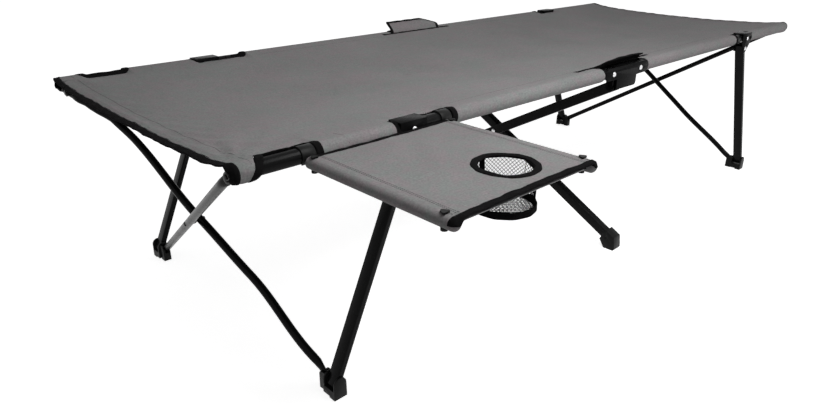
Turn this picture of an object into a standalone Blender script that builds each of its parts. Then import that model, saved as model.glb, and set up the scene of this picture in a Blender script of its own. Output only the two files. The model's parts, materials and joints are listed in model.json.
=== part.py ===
"""Folding camping cot with a clip-on side table, as separate solids in metres, +Z up.

The bed lies along X and its near side faces -Y. Sizes are written once at the top. Pieces are
placed in the bed's own frame, centred between the rails, under one empty that moves the whole
cot so that the middle of its footprint is the origin.
"""
import math

import bmesh
import bpy
from mathutils import Matrix, Vector

# Fits
GAP = 0.0003                 # between two pieces that touch
PIN_GAP = 0.0004             # between a pin and its hole
WALL = 0.0012                # steel tube walls
OVERLAP = 0.0005             # of two solids that are made one

# Rails
RAIL_SPACING = 0.72          # between the axes of the two sides
RAIL_HEIGHT = 0.46           # axis above the floor
RAIL_RADIUS = 0.0125
LENGTH = 2.0282              # over the rivet heads at the rails' ends
HINGE_PIVOT = 0.059          # from the middle to a rail's hinge rivet
RAIL_TAIL = 0.016            # from the hinge rivet to the rail's inner end

# Rivets and pins
PIN_RADIUS = 0.003
HEAD_RADIUS = 0.006
HEAD_HEIGHT = 0.0018

# Centre hinge plates
CHEEK_INNER = 0.0135         # from the rail axis to a cheek's inner face
CHEEK_THICKNESS = 0.002
PLATE_LENGTH = 0.19
PLATE_HEIGHT = 0.0283
WEB_LENGTH = 0.092
WEB_THICKNESS = 0.002
CHEEK_LIP = 0.0006           # cheeks reach this far above the web
APRON_LENGTH = 0.086         # of the rounded lower lobe on the outer cheek
APRON_DROP = 0.025
APRON_CORNER = 0.008
APRON_SHOULDER = 0.001       # lower edge of the outer cheek slopes down to the lobe
LUG_THICKNESS = 0.0025
LUG_RADIUS = 0.009
LUG_NECK = 0.001             # from the pivot to the edge of the lug's upright part

# Centre braces
BRACE_DEPTH = 0.025          # tube section, in the plane of the X
BRACE_THICKNESS = 0.020      # tube section, along the bed
BRACE_CLEARANCE = 0.001      # between the two braces where they cross
BRACE_PIVOT_INSET = 0.015    # from the rail axis inward
BRACE_PIVOT_DROP = 0.04      # from the rail axis down
BRACE_END = 0.010            # tube beyond its pivot
BOOT_SPREAD = 0.38           # from the middle to a boot's centre
BOOT_AXIS_HEIGHT = 0.03
BOOT_WIDTH = 0.030
BOOT_SHELL = 0.0035
BOOT_REACH = 0.013           # up the tube from the boot's centre
BOOT_TOE = 0.016             # down the tube from the boot's centre
BOOT_SOLE = 0.027
BOOT_DIMPLE_RADIUS = 0.004
BOOT_DIMPLE_DEPTH = 0.001
BOOT_TOE_OUT = 0.026         # from the boot's centre to its outermost edge
BOOT_TOE_HEIGHT = 0.006
BOOT_TOE_CHAMFER = 0.004

# Legs
LEG_TOP = 0.685              # from the middle to the leg pivot
LEG_PIVOT_DROP = 0.03        # from the rail axis down
LEG_DEPTH = 0.026            # tube section across the bed
LEG_THICKNESS = 0.013
LEG_OVERRUN = 0.009          # tube beyond its pivots
FOOT_SPREAD = 0.862          # from the middle to a corner foot's pin
FOOT_PIN_HEIGHT = 0.03

# Leg brackets
BRACKET_THICKNESS = 0.0022
BRACKET_LENGTH = 0.06
BRACKET_TIP_RADIUS = 0.0115

# Corner feet
FOOT_HALF_LENGTH = 0.014
FOOT_EAR = 0.0037
FOOT_TOP_RADIUS = 0.0135
SOLE_OVERCUT = 0.002         # blocks start this far below the floor and are cut flat
FOOT_FLOOR_DROP = 0.0125     # from the leg pin down to the floor of its slot
BRACE_PIN_INSET = 0.027      # from the leg's plane inward to the brace pin
EYE_SLOT_WALL = 0.0045
EYE_FLOOR_DROP = 0.010
FOOT_INNER_RADIUS = 0.0075
PAD_HEIGHT = 0.003
PAD_GROOVE = 0.018

# Crossed end braces
TUBE_RADIUS = 0.008
TUBE_SIDES = 10
FOOT_EYE_THICKNESS = 0.008
FOOT_EYE_RADIUS = 0.008
TIP_EYE_THICKNESS = 0.005
TIP_EYE_RADIUS = 0.009
TIP_INSET = 0.022            # from the rail axis inward to the brace's upper rivet
TIP_DROP = 0.013
JOGGLE = 0.025               # how far the inner tube of a pair steps inboard at the crossing
JOGGLE_HIGH = 0.038          # and near its upper end
JOGGLE_LAST = 0.012          # where it turns back to its eye
CROSS_SPACER_RADIUS = 0.0045
CROSS_GAP = 0.0006           # a leaning tube turns over the spacer's flat end

# Rail end fittings
PLUG_LENGTH = 0.020
END_PLATE_THICKNESS = 0.004

# Bed cloth
HEM_THICKNESS = 0.0015
HEM_START = 0.097            # from the middle to the hem's inner end
HEM_SHORT = 0.004            # from a rail's end back to the hem's end
CLIP_WINDOW_INNER = 0.025    # from a table clip inward to its cut-out's end
CLIP_WINDOW_OUTER = 0.080    # and outward
LEG_WINDOW_INNER = 0.107     # from a leg's top inward to its cut-out's end
LEG_WINDOW_OUTER = 0.037     # and outward
WINDOW_FLOOR = 0.0115        # cut-outs reach this far below the rail axis
CLOTH_THICKNESS = 0.002
CLOTH_RISE = 0.008           # cloth's upper face above the rail axis at its edge
CLOTH_SAG = 0.025
WINDOW_ARC = 0.008
WINDOW_STEP = 0.001          # from a cut-out's end to the cloth's full width
LEFT_SCOOP = 0.008
RIGHT_SCOOP = 0.028
CLOTH_SPLIT = 0.0605         # where the middle piece meets the side pieces
FLAP_RADIUS = 0.0222
FLAP_THICKNESS = 0.0015
FLAP_LENGTH = 0.189
FLAP_START = 22.0            # degrees above the outer side

# Side table
TABLE_LEFT = -0.895
TABLE_RIGHT = -0.605
ARM_RADIUS = 0.008
ARM_WALL = 0.001
ARM_DROP = 0.008             # arm axis below the rail axis
TABLE_EDGE = 0.314           # from the rail axis out to the cloth's outer edge
ARM_INSET = 0.008            # from the cloth's outer edge in to an arm's end
TABLE_CLOTH_THICKNESS = 0.0012
TABLE_CLOTH_START = 0.032
CLIP_THICKNESS = 0.0026
CLIP_LENGTH = 0.024
CLIP_MOUTH = (155.0, 310.0)   # degrees left open, from the outer side over the top
CLIP_PLUG_LENGTH = 0.024
SCREW_INNER = 0.025          # from the rail axis to the inner screws
SCREW_OUTER = 0.290
SCREW_RADIUS = 0.0025
SCREW_HEAD_RADIUS = 0.0065
SCREW_LOBE_RADIUS = 0.0028
SCREW_HEAD_HEIGHT = 0.0026
SCREW_CAP_RADIUS = 0.005
SCREW_CAP_HEIGHT = 0.0035
SPREADER_RADIUS = 0.004
SPREADER_OUT = 0.300         # from the rail axis
CUP_X = -0.71
CUP_OUT = 0.232              # from the rail axis
CUP_RADIUS = 0.0465
CUP_RIM = 0.0075
CUP_WALL = 0.0012
CUP_DEPTH = 0.061

# Derived places
HALF_WIDTH = RAIL_SPACING / 2
RAIL_BORE = RAIL_RADIUS - WALL
RAIL_END = LENGTH / 2 - GAP - END_PLATE_THICKNESS - HEAD_HEIGHT
HEM_END = RAIL_END - HEM_SHORT
LEG_WINDOW = (LEG_TOP - LEG_WINDOW_INNER, LEG_TOP + LEG_WINDOW_OUTER)
CLIP_WINDOW = (-TABLE_LEFT - CLIP_WINDOW_INNER, -TABLE_LEFT + CLIP_WINDOW_OUTER)
WINDOWS = {"left": (LEG_WINDOW, CLIP_WINDOW), "right": (LEG_WINDOW,)}
HOLE_RADIUS = PIN_RADIUS + PIN_GAP
HEM_INNER = RAIL_RADIUS + GAP
HEM_OUTER = HEM_INNER + HEM_THICKNESS
LEG_PIVOT_Z = RAIL_HEIGHT - LEG_PIVOT_DROP
BRACE_PIVOT_Y = HALF_WIDTH - BRACE_PIVOT_INSET
BRACE_PIVOT_Z = RAIL_HEIGHT - BRACE_PIVOT_DROP
WEB_Z = RAIL_HEIGHT + RAIL_RADIUS + GAP
PLATE_BOTTOM = WEB_Z + WEB_THICKNESS + CHEEK_LIP - PLATE_HEIGHT
CHEEK_OUTER = CHEEK_INNER + CHEEK_THICKNESS
BRACKET_INNER = LEG_DEPTH / 2 + GAP
BRACKET_OUTER = BRACKET_INNER + BRACKET_THICKNESS
EYE_Y = HALF_WIDTH - BRACE_PIN_INSET
TIP_X = RAIL_END - TIP_EYE_THICKNESS / 2
TIP_Y = HALF_WIDTH - TIP_INSET
TIP_Z = RAIL_HEIGHT - TIP_DROP
CLIP_INNER = RAIL_RADIUS + GAP
CLIP_OUTER = CLIP_INNER + CLIP_THICKNESS
TABLE_HEM_INNER = ARM_RADIUS + GAP
TABLE_HEM_OUTER = TABLE_HEM_INNER + TABLE_CLOTH_THICKNESS
ARM_Z = RAIL_HEIGHT - ARM_DROP
ARM_START = CLIP_OUTER + GAP
TABLE_TOP_Z = ARM_Z + TABLE_HEM_OUTER
BOOT_OUTER = BOOT_SPREAD + BOOT_TOE_OUT
FOOTPRINT_SHIFT = (HALF_WIDTH + TABLE_EDGE - BOOT_OUTER) / 2


def start_scene():
    """Clears the file and returns the cot's collection, the cutters' one and the root empty."""
    for old in list(bpy.data.objects):
        bpy.data.objects.remove(old, do_unlink=True)
    cot = bpy.data.collections.new("camping_cot")
    tools = bpy.data.collections.new("cutters")
    for collection in (cot, tools):
        bpy.context.scene.collection.children.link(collection)
    empty = bpy.data.objects.new("camping_cot", None)
    empty.location = (0, FOOTPRINT_SHIFT, 0)
    cot.objects.link(empty)
    return cot, tools, empty


COT, CUTTERS, ROOT = start_scene()


def material(name, color, roughness, metallic=0.0):
    """A Principled material named for its piece."""
    made = bpy.data.materials.new(name)
    made.use_nodes = True
    shader = made.node_tree.nodes["Principled BSDF"]
    shader.inputs["Base Color"].default_value = (*color, 1)
    shader.inputs["Roughness"].default_value = roughness
    shader.inputs["Metallic"].default_value = metallic
    return made


LOOKS = {
    "black": ((0.012, 0.012, 0.013), 0.35, 0.0),
    "zinc": ((0.55, 0.55, 0.56), 0.3, 1.0),
    "plastic": ((0.014, 0.015, 0.014), 0.5, 0.0),
    "cloth": ((0.17, 0.17, 0.17), 0.9, 0.0),
    "mesh": ((0.02, 0.02, 0.02), 0.8, 0.0),
}


def new_object(name, mesh):
    """Links a mesh object under the root, as a cutter until it is finished."""
    made = bpy.data.objects.new(name, mesh)
    CUTTERS.objects.link(made)
    made.parent = ROOT
    made.hide_render = True
    made.display_type = "WIRE"
    return made


def finish(piece, name, look, origin=(0, 0, 0), smooth=None):
    """Names a piece, gives it its material and puts its origin on its joint's axis."""
    CUTTERS.objects.unlink(piece)
    COT.objects.link(piece)
    piece.hide_render = False
    piece.display_type = "TEXTURED"
    piece.name = name
    piece.data.name = name
    piece.data.materials.clear()
    piece.data.materials.append(material(name, *LOOKS[look]))
    piece.data.transform(Matrix.Translation(-Vector(origin)))
    piece.location = Vector(origin)
    if smooth:
        piece.data.shade_smooth()
        piece.data.set_sharp_from_angle(angle=math.radians(smooth))
    return piece


def from_bmesh(name, bm):
    """An object from a bmesh with its faces pointing out."""
    bmesh.ops.recalc_face_normals(bm, faces=bm.faces)
    mesh = bpy.data.meshes.new(name)
    bm.to_mesh(mesh)
    bm.free()
    return new_object(name, mesh)


def box(low, high, name="box"):
    """A block between two corners."""
    low, high = Vector(low), Vector(high)
    bm = bmesh.new()
    bmesh.ops.create_cube(bm, size=1)
    bmesh.ops.scale(bm, vec=high - low, verts=bm.verts)
    bmesh.ops.translate(bm, vec=(low + high) / 2, verts=bm.verts)
    return from_bmesh(name, bm)


def along(direction):
    """The rotation that turns +Z to a direction, with X kept level where it can be."""
    return Vector(direction).to_track_quat("Z", "Y").to_matrix().to_4x4()


def rod(start, end, radius, sides=10, name="rod"):
    """A round solid between two points."""
    start, end = Vector(start), Vector(end)
    bm = bmesh.new()
    place = Matrix.Translation((start + end) / 2) @ along(end - start)
    bmesh.ops.create_cone(
        bm, cap_ends=True, segments=sides, radius1=radius, radius2=radius,
        depth=(end - start).length, matrix=place,
    )
    return from_bmesh(name, bm)


def pipe(start, end, radius, wall, sides=16, name="pipe"):
    """A round tube with open ends between two points."""
    start, end = Vector(start), Vector(end)
    bm = bmesh.new()
    place = Matrix.Translation((start + end) / 2) @ along(end - start)
    bmesh.ops.create_cone(
        bm, cap_ends=False, segments=sides, radius1=radius, radius2=radius,
        depth=(end - start).length, matrix=place,
    )
    made = from_bmesh(name, bm)
    thicken(made, wall)
    return made


def thicken(piece, wall):
    """Gives an open surface its wall, inward."""
    shell = piece.modifiers.new("wall", "SOLIDIFY")
    shell.thickness = wall
    shell.offset = -1
    shell.use_even_offset = True
    return piece


def box_tube(start, end, across, thickness, depth, wall, name="box_tube"):
    """A rectangular tube with open ends; across is the direction of its depth."""
    start, end, across = Vector(start), Vector(end), Vector(across).normalized()
    run = (end - start).normalized()
    third = across.cross(run)
    place = Matrix((third, across, run)).transposed().to_4x4()
    place.translation = (start + end) / 2
    bm = bmesh.new()
    bmesh.ops.create_cube(bm, size=1)
    ends = [face for face in bm.faces if abs(face.normal.z) > 0.5]
    bmesh.ops.delete(bm, geom=ends, context="FACES_ONLY")
    bmesh.ops.scale(bm, vec=(thickness, depth, (end - start).length), verts=bm.verts)
    corners = [edge for edge in bm.edges if abs(edge.verts[0].co.z - edge.verts[1].co.z) > 0.01]
    bmesh.ops.bevel(
        bm, geom=corners, offset=2 * wall, segments=2, profile=0.5, affect="EDGES",
        clamp_overlap=True,
    )
    bmesh.ops.transform(bm, matrix=place, verts=bm.verts)
    return thicken(from_bmesh(name, bm), wall)


def plate(outline, thickness, place, holes=(), name="plate"):
    """A flat plate from an outline in its own XY plane, put where the matrix says."""
    curve = bpy.data.curves.new(name, "CURVE")
    curve.dimensions = "2D"
    curve.fill_mode = "BOTH"
    curve.extrude = thickness / 2
    for loop in (outline, *holes):
        spline = curve.splines.new("POLY")
        spline.points.add(len(loop) - 1)
        for point, (x, y) in zip(spline.points, loop):
            point.co = (x, y, 0, 1)
        spline.use_cyclic_u = True
    flat = bpy.data.objects.new(name, curve)
    COT.objects.link(flat)
    graph = bpy.context.evaluated_depsgraph_get()
    mesh = bpy.data.meshes.new_from_object(flat.evaluated_get(graph))
    bpy.data.objects.remove(flat, do_unlink=True)
    bm = bmesh.new()
    bm.from_mesh(mesh)
    bmesh.ops.remove_doubles(bm, verts=bm.verts, dist=0.00001)
    if not holes:
        bmesh.ops.dissolve_limit(
            bm, angle_limit=math.radians(0.5), verts=bm.verts, edges=bm.edges,
        )
    bmesh.ops.transform(bm, matrix=place, verts=bm.verts)
    bpy.data.meshes.remove(mesh)
    return from_bmesh(name, bm)


# Planes for plates: outline x, outline y and thickness directions
def plane(x_direction, y_direction, origin):
    """A matrix with the two given directions as its X and Y axes."""
    x_direction, y_direction = Vector(x_direction), Vector(y_direction)
    place = Matrix((x_direction, y_direction, x_direction.cross(y_direction))).transposed()
    place = place.to_4x4()
    place.translation = Vector(origin)
    return place


def arc(centre, radius, start, end, steps):
    """Points on an arc, angles in degrees."""
    return [
        (
            centre[0] + radius * math.cos(math.radians(start + (end - start) * i / steps)),
            centre[1] + radius * math.sin(math.radians(start + (end - start) * i / steps)),
        )
        for i in range(steps + 1)
    ]


def boolean(piece, other, operation):
    """Adds a live Boolean with another solid."""
    step = piece.modifiers.new(operation.lower(), "BOOLEAN")
    step.operation = operation
    step.solver = "EXACT"
    step.object = other
    return piece


def cut(piece, *others):
    """Takes solids out of a piece."""
    for other in others:
        boolean(piece, other, "DIFFERENCE")
    return piece


def fuse(piece, *others):
    """Makes solids one with a piece."""
    for other in others:
        boolean(piece, other, "UNION")
    return piece


def turned(profile, centre, direction, steps=10, name="turned"):
    """A turned solid: profile points are radius and height, from top to bottom."""
    mesh = bpy.data.meshes.new(name)
    points = [(radius, 0, height) for radius, height in profile]
    mesh.from_pydata(points, [(i, i + 1) for i in range(len(points) - 1)], [])
    made = new_object(name, mesh)
    screw = made.modifiers.new("turn", "SCREW")
    screw.steps = steps
    screw.render_steps = steps
    screw.use_merge_vertices = True
    screw.merge_threshold = 0.00001
    graph = bpy.context.evaluated_depsgraph_get()
    solid = bpy.data.meshes.new_from_object(made.evaluated_get(graph))
    bpy.data.objects.remove(made, do_unlink=True)
    bm = bmesh.new()
    bm.from_mesh(solid)
    bmesh.ops.remove_doubles(bm, verts=bm.verts, dist=0.00001)
    bmesh.ops.transform(bm, matrix=Matrix.Translation(centre) @ along(direction), verts=bm.verts)
    bpy.data.meshes.remove(solid)
    return from_bmesh(name, bm)


def rivet(centre, direction, grip, name="rivet"):
    """A rivet with two chamfered heads; grip is the distance between the heads."""
    half = grip / 2
    crown = half + HEAD_HEIGHT
    profile = [
        (0, crown),
        (HEAD_RADIUS * 0.7, crown),
        (HEAD_RADIUS, half),
        (PIN_RADIUS, half),
        (PIN_RADIUS, -half),
        (HEAD_RADIUS, -half),
        (HEAD_RADIUS * 0.7, -crown),
        (0, -crown),
    ]
    return turned(profile, centre, direction, name=name)


def loft(stations, sides, name="loft"):
    """A solid through oval rings; a station is centre, run, half thickness and half height."""
    bm = bmesh.new()
    rings = []
    for centre, run, half_x, half_up in stations:
        run = Vector(run).normalized()
        side = Vector((1, 0, 0)) - run * run.x
        side.normalize()
        up = run.cross(side)
        ring = []
        for i in range(sides):
            angle = 2 * math.pi * (i + 0.5) / sides
            offset = side * half_x * math.cos(angle) + up * half_up * math.sin(angle)
            ring.append(bm.verts.new(Vector(centre) + offset))
        rings.append(ring)
    for lower, upper in zip(rings, rings[1:]):
        for i in range(sides):
            j = (i + 1) % sides
            bm.faces.new((lower[i], lower[j], upper[j], upper[i]))
    bm.faces.new(rings[0])
    bm.faces.new(rings[-1])
    return from_bmesh(name, bm)


SIDES = {"near": -1, "far": 1}
ENDS = {"left": -1, "right": 1}


def rail_point(end, side, x, drop=0.0):
    """A point on a rail's axis plane, x from the middle of the bed."""
    return Vector((ENDS[end] * x, SIDES[side] * HALF_WIDTH, RAIL_HEIGHT - drop))


def make_rail(end, side):
    """A side rail tube, drilled for its hinge rivet and its bracket's rivet."""
    start = rail_point(end, side, HINGE_PIVOT - RAIL_TAIL)
    stop = rail_point(end, side, RAIL_END)
    tube = pipe(start, stop, RAIL_RADIUS, WALL)
    reach = Vector((0, 2 * RAIL_RADIUS, 0))
    for x in (HINGE_PIVOT, LEG_TOP):
        spot = rail_point(end, side, x)
        cut(tube, rod(spot - reach, spot + reach, HOLE_RADIUS))
    origin = rail_point(end, side, HINGE_PIVOT)
    return finish(tube, f"rail_{side}_{end}", "black", origin, smooth=35)


def make_rail_end(end, side):
    """The plug and end plate of a rail, with the tab that carries an end brace."""
    sx, sy = ENDS[end], SIDES[side]
    inner_face = RAIL_END + GAP
    middle = inner_face + END_PLATE_THICKNESS / 2
    tilt = math.degrees(math.atan2(-TIP_DROP, -TIP_INSET))
    spread = math.degrees(
        math.acos((RAIL_RADIUS - TIP_EYE_RADIUS) / math.hypot(TIP_INSET, TIP_DROP))
    )
    outline = arc((0, 0), RAIL_RADIUS, tilt + spread, tilt + 360 - spread, 14)
    outline += arc((-TIP_INSET, -TIP_DROP), TIP_EYE_RADIUS, tilt - spread, tilt + spread, 8)
    place = plane((0, sy, 0), (0, 0, 1), (sx * middle, sy * HALF_WIDTH, RAIL_HEIGHT))
    fitting = plate(outline, END_PLATE_THICKNESS, place)
    plug_start = rail_point(end, side, RAIL_END - PLUG_LENGTH)
    plug_stop = rail_point(end, side, middle)
    fuse(fitting, rod(plug_start, plug_stop, RAIL_BORE - GAP))
    for y, z in ((HALF_WIDTH, RAIL_HEIGHT), (TIP_Y, TIP_Z)):
        head_at = Vector((0, sy * y, z))
        outer_face = inner_face + END_PLATE_THICKNESS
        fuse(fitting, rod(
            head_at + Vector((sx * (middle + OVERLAP), 0, 0)),
            head_at + Vector((sx * (outer_face + HEAD_HEIGHT), 0, 0)), HEAD_RADIUS,
        ))
    origin = rail_point(end, side, HINGE_PIVOT)
    return finish(fitting, f"rail_end_{side}_{end}", "black", origin, smooth=35)


def make_hinge_plate(side):
    """The channel at the middle of a side: two cheeks, a web over the rails and two lugs."""
    sy = SIDES[side]
    half = PLATE_HEIGHT / 2
    middle_z = PLATE_BOTTOM + half
    ends = PLATE_LENGTH / 2 - half
    apron = APRON_LENGTH / 2
    corner = APRON_CORNER
    top = arc((ends, 0), half, -90, 90, 8) + arc((-ends, 0), half, 90, 270, 8)
    low = -half - APRON_DROP
    shoulder = -half - APRON_SHOULDER
    lobe = [(-apron, shoulder)] + arc((-apron + corner, low + corner), corner, 180, 270, 4)
    lobe += arc((apron - corner, low + corner), corner, 270, 360, 4) + [(apron, shoulder)]
    cheeks = []
    for inward, outline in ((1, top), (-1, top + lobe)):
        y = sy * (HALF_WIDTH - inward * (CHEEK_INNER + CHEEK_THICKNESS / 2))
        place = plane((1, 0, 0), (0, 0, 1), (0, y, middle_z))
        cheeks.append(plate(outline, CHEEK_THICKNESS, place))
    web_low = (-WEB_LENGTH / 2, sy * HALF_WIDTH - CHEEK_OUTER + OVERLAP, WEB_Z)
    web_top = WEB_Z + WEB_THICKNESS
    web_high = (WEB_LENGTH / 2, sy * HALF_WIDTH + CHEEK_OUTER - OVERLAP, web_top)
    body = fuse(box(web_low, web_high), *cheeks)
    rise = WEB_Z + WEB_THICKNESS / 2 - BRACE_PIVOT_Z
    waist = PLATE_BOTTOM + LUG_RADIUS - BRACE_PIVOT_Z
    ear = arc((0, 0), LUG_RADIUS, 180, 360, 8) + [(LUG_RADIUS, rise), (LUG_NECK, rise)]
    ear += [(LUG_NECK, waist), (-LUG_RADIUS, waist - LUG_RADIUS)]
    near_face = BRACE_CLEARANCE / 2
    far_face = near_face + BRACE_THICKNESS
    for x in (near_face - GAP - LUG_THICKNESS / 2, far_face + GAP + LUG_THICKNESS / 2):
        place = plane((0, sy, 0), (0, 0, 1), (sy * x, sy * BRACE_PIVOT_Y, BRACE_PIVOT_Z))
        fuse(body, plate(ear, LUG_THICKNESS, place))
    pivot = Vector((sy * (near_face + far_face) / 2, sy * BRACE_PIVOT_Y, BRACE_PIVOT_Z))
    reach = Vector((BRACE_THICKNESS / 2 + GAP + LUG_THICKNESS + HEAD_HEIGHT, 0, 0))
    fuse(body, rod(pivot - reach, pivot + reach, PIN_RADIUS))
    for end in ENDS:
        spot = rail_point(end, side, HINGE_PIVOT)
        depth = Vector((0, 2 * CHEEK_OUTER, 0))
        cut(body, rod(spot - depth, spot + depth, HOLE_RADIUS))
    return finish(body, f"hinge_plate_{side}", "black", (0, sy * HALF_WIDTH, RAIL_HEIGHT), 35)


def make_hinge_rivet(end, side):
    """The bright rivet that a rail turns on in its hinge plate."""
    spot = rail_point(end, side, HINGE_PIVOT)
    made = rivet(spot, (0, 1, 0), 2 * (CHEEK_OUTER + GAP))
    return finish(made, f"hinge_rivet_{side}_{end}", "zinc", spot, smooth=35)


def brace_line(side):
    """The upper pivot and the boot centre of the centre brace that hangs on one side."""
    sy = SIDES[side]
    x = sy * (BRACE_CLEARANCE + BRACE_THICKNESS) / 2
    upper = Vector((x, sy * BRACE_PIVOT_Y, BRACE_PIVOT_Z))
    lower = Vector((x, -sy * BOOT_SPREAD, BOOT_AXIS_HEIGHT))
    return upper, lower


def crossing_height():
    """Where the two centre braces cross, above the floor."""
    upper, lower = brace_line("near")
    share = BRACE_PIVOT_Y / (BRACE_PIVOT_Y + BOOT_SPREAD)
    return upper.z + (lower.z - upper.z) * share


def make_centre_brace(side):
    """A rectangular brace from one hinge plate to the boot on the other side."""
    upper, lower = brace_line(side)
    run = (lower - upper).normalized()
    other = "far" if side == "near" else "near"
    tube = box_tube(
        upper - run * BRACE_END, lower + run * (BOOT_TOE - BOOT_SHELL - GAP),
        run.cross(Vector((1, 0, 0))), BRACE_THICKNESS, BRACE_DEPTH, WALL,
    )
    reach = Vector((BRACE_THICKNESS, 0, 0))
    crossing = Vector((upper.x, 0, crossing_height()))
    for spot in (upper, crossing):
        cut(tube, rod(spot - reach, spot + reach, HOLE_RADIUS))
    return finish(tube, f"centre_brace_to_{other}_foot", "black", crossing, smooth=35)


def make_cross_pin():
    """The pin where the centre braces cross."""
    spot = Vector((0, 0, crossing_height()))
    made = rivet(spot, (1, 0, 0), BRACE_CLEARANCE + 2 * BRACE_THICKNESS + 2 * GAP)
    return finish(made, "centre_cross_pin", "zinc", spot, smooth=35)


def make_boot(side):
    """The moulded boot on the lower end of the brace that hangs on the opposite side."""
    sy = SIDES[side]
    other = "far" if side == "near" else "near"
    upper, lower = brace_line(other)
    run = (lower - upper).normalized()
    slope = math.atan2(upper.z - lower.z, abs(upper.y - lower.y))
    t = (math.cos(slope), -math.sin(slope))
    n = (math.sin(slope), math.cos(slope))
    half = BRACE_DEPTH / 2 + GAP + BOOT_SHELL

    def at(along_tube, above):
        return (
            BOOT_SPREAD + t[0] * along_tube + n[0] * above,
            BOOT_AXIS_HEIGHT + t[1] * along_tube + n[1] * above,
        )

    toe = BOOT_OUTER - BOOT_TOE_CHAMFER
    outline = [
        at(-BOOT_REACH, half), at(BOOT_TOE, half), (BOOT_OUTER, BOOT_TOE_HEIGHT), (toe, 0),
        (toe - BOOT_SOLE, 0), at(-BOOT_REACH, -half),
    ]
    place = plane((0, sy, 0), (0, 0, 1), (lower.x, 0, 0))
    boot = plate(outline, BOOT_WIDTH, place)
    fit = Vector((BRACE_THICKNESS / 2 + GAP, BRACE_DEPTH / 2 + GAP, 0.05))
    pocket = box(-fit, fit)
    across = run.cross(Vector((1, 0, 0)))
    turn = Matrix((across.cross(run), across, run)).transposed().to_4x4()
    turn.translation = lower + run * (BOOT_TOE - BOOT_SHELL - fit.z)
    pocket.data.transform(turn)
    cut(boot, pocket)
    sink = Vector((BOOT_DIMPLE_DEPTH, 0, 0))
    for face in (-BOOT_WIDTH / 2, BOOT_WIDTH / 2):
        spot = lower + Vector((face, 0, 0))
        cut(boot, rod(spot - sink, spot + sink, BOOT_DIMPLE_RADIUS, 12))
    crossing = Vector((lower.x, 0, crossing_height()))
    return finish(boot, f"centre_foot_{side}", "plastic", crossing, smooth=35)


def leg_pins(end, side):
    """The upper and lower pivot points of a leg."""
    sy = SIDES[side]
    upper = Vector((ENDS[end] * LEG_TOP, sy * HALF_WIDTH, LEG_PIVOT_Z))
    lower = Vector((ENDS[end] * FOOT_SPREAD, sy * HALF_WIDTH, FOOT_PIN_HEIGHT))
    return upper, lower


def make_bracket(end, side):
    """The saddle over a rail that a leg hangs in, with its rivet through the rail."""
    sx, sy = ENDS[end], SIDES[side]
    pivot_drop = -LEG_PIVOT_DROP
    top = BRACKET_INNER + BRACKET_THICKNESS
    half = BRACKET_LENGTH / 2
    outline = [(half, top), (-half, top), (-half, -RAIL_RADIUS)]
    outline += arc((0, pivot_drop), BRACKET_TIP_RADIUS, 200, 340, 8)
    outline += [(half, -RAIL_RADIUS)]
    cheeks = []
    for inward in (-1, 1):
        y = sy * (HALF_WIDTH - inward * (BRACKET_INNER + BRACKET_THICKNESS / 2))
        place = plane((sx, 0, 0), (0, 0, 1), (sx * LEG_TOP, y, RAIL_HEIGHT))
        cheek = plate(outline, BRACKET_THICKNESS, place)
        depth = Vector((0, BRACKET_THICKNESS, 0))
        spot = Vector((sx * LEG_TOP, y, LEG_PIVOT_Z))
        cheeks.append(cut(cheek, rod(spot - depth, spot + depth, HOLE_RADIUS)))
    web_low = (-half, -BRACKET_OUTER + OVERLAP, RAIL_RADIUS + GAP)
    web_high = (half, BRACKET_OUTER - OVERLAP, top)
    offset = Vector((sx * LEG_TOP, sy * HALF_WIDTH, RAIL_HEIGHT))
    saddle = box(offset + Vector(web_low), offset + Vector(web_high))
    axis = Vector((0, BRACKET_OUTER + HEAD_HEIGHT, 0))
    fuse(saddle, *cheeks, rod(offset - axis, offset + axis, PIN_RADIUS))
    for sign in (-1, 1):
        inner = Vector((0, sign * (BRACKET_OUTER - OVERLAP), 0))
        fuse(saddle, rod(offset + inner, offset + axis * sign, HEAD_RADIUS))
    origin = rail_point(end, side, HINGE_PIVOT)
    return finish(saddle, f"leg_bracket_{side}_{end}", "black", origin, smooth=35)


def make_leg_pin(end, side):
    """The pin that a leg turns on in its bracket."""
    upper, _ = leg_pins(end, side)
    made = rivet(upper, (0, 1, 0), 2 * (BRACKET_OUTER + GAP))
    return finish(made, f"leg_pin_{side}_{end}", "zinc", upper, smooth=35)


def make_leg(end, side):
    """A flat rectangular leg between its bracket and its foot."""
    upper, lower = leg_pins(end, side)
    run = (lower - upper).normalized()
    tube = box_tube(
        upper - run * LEG_OVERRUN, lower + run * LEG_OVERRUN, (0, 1, 0),
        LEG_THICKNESS, LEG_DEPTH, WALL,
    )
    reach = Vector((0, LEG_DEPTH, 0))
    for spot in (upper, lower):
        cut(tube, rod(spot - reach, spot + reach, HOLE_RADIUS))
    return finish(tube, f"leg_{side}_{end}", "black", upper, smooth=35)


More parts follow.
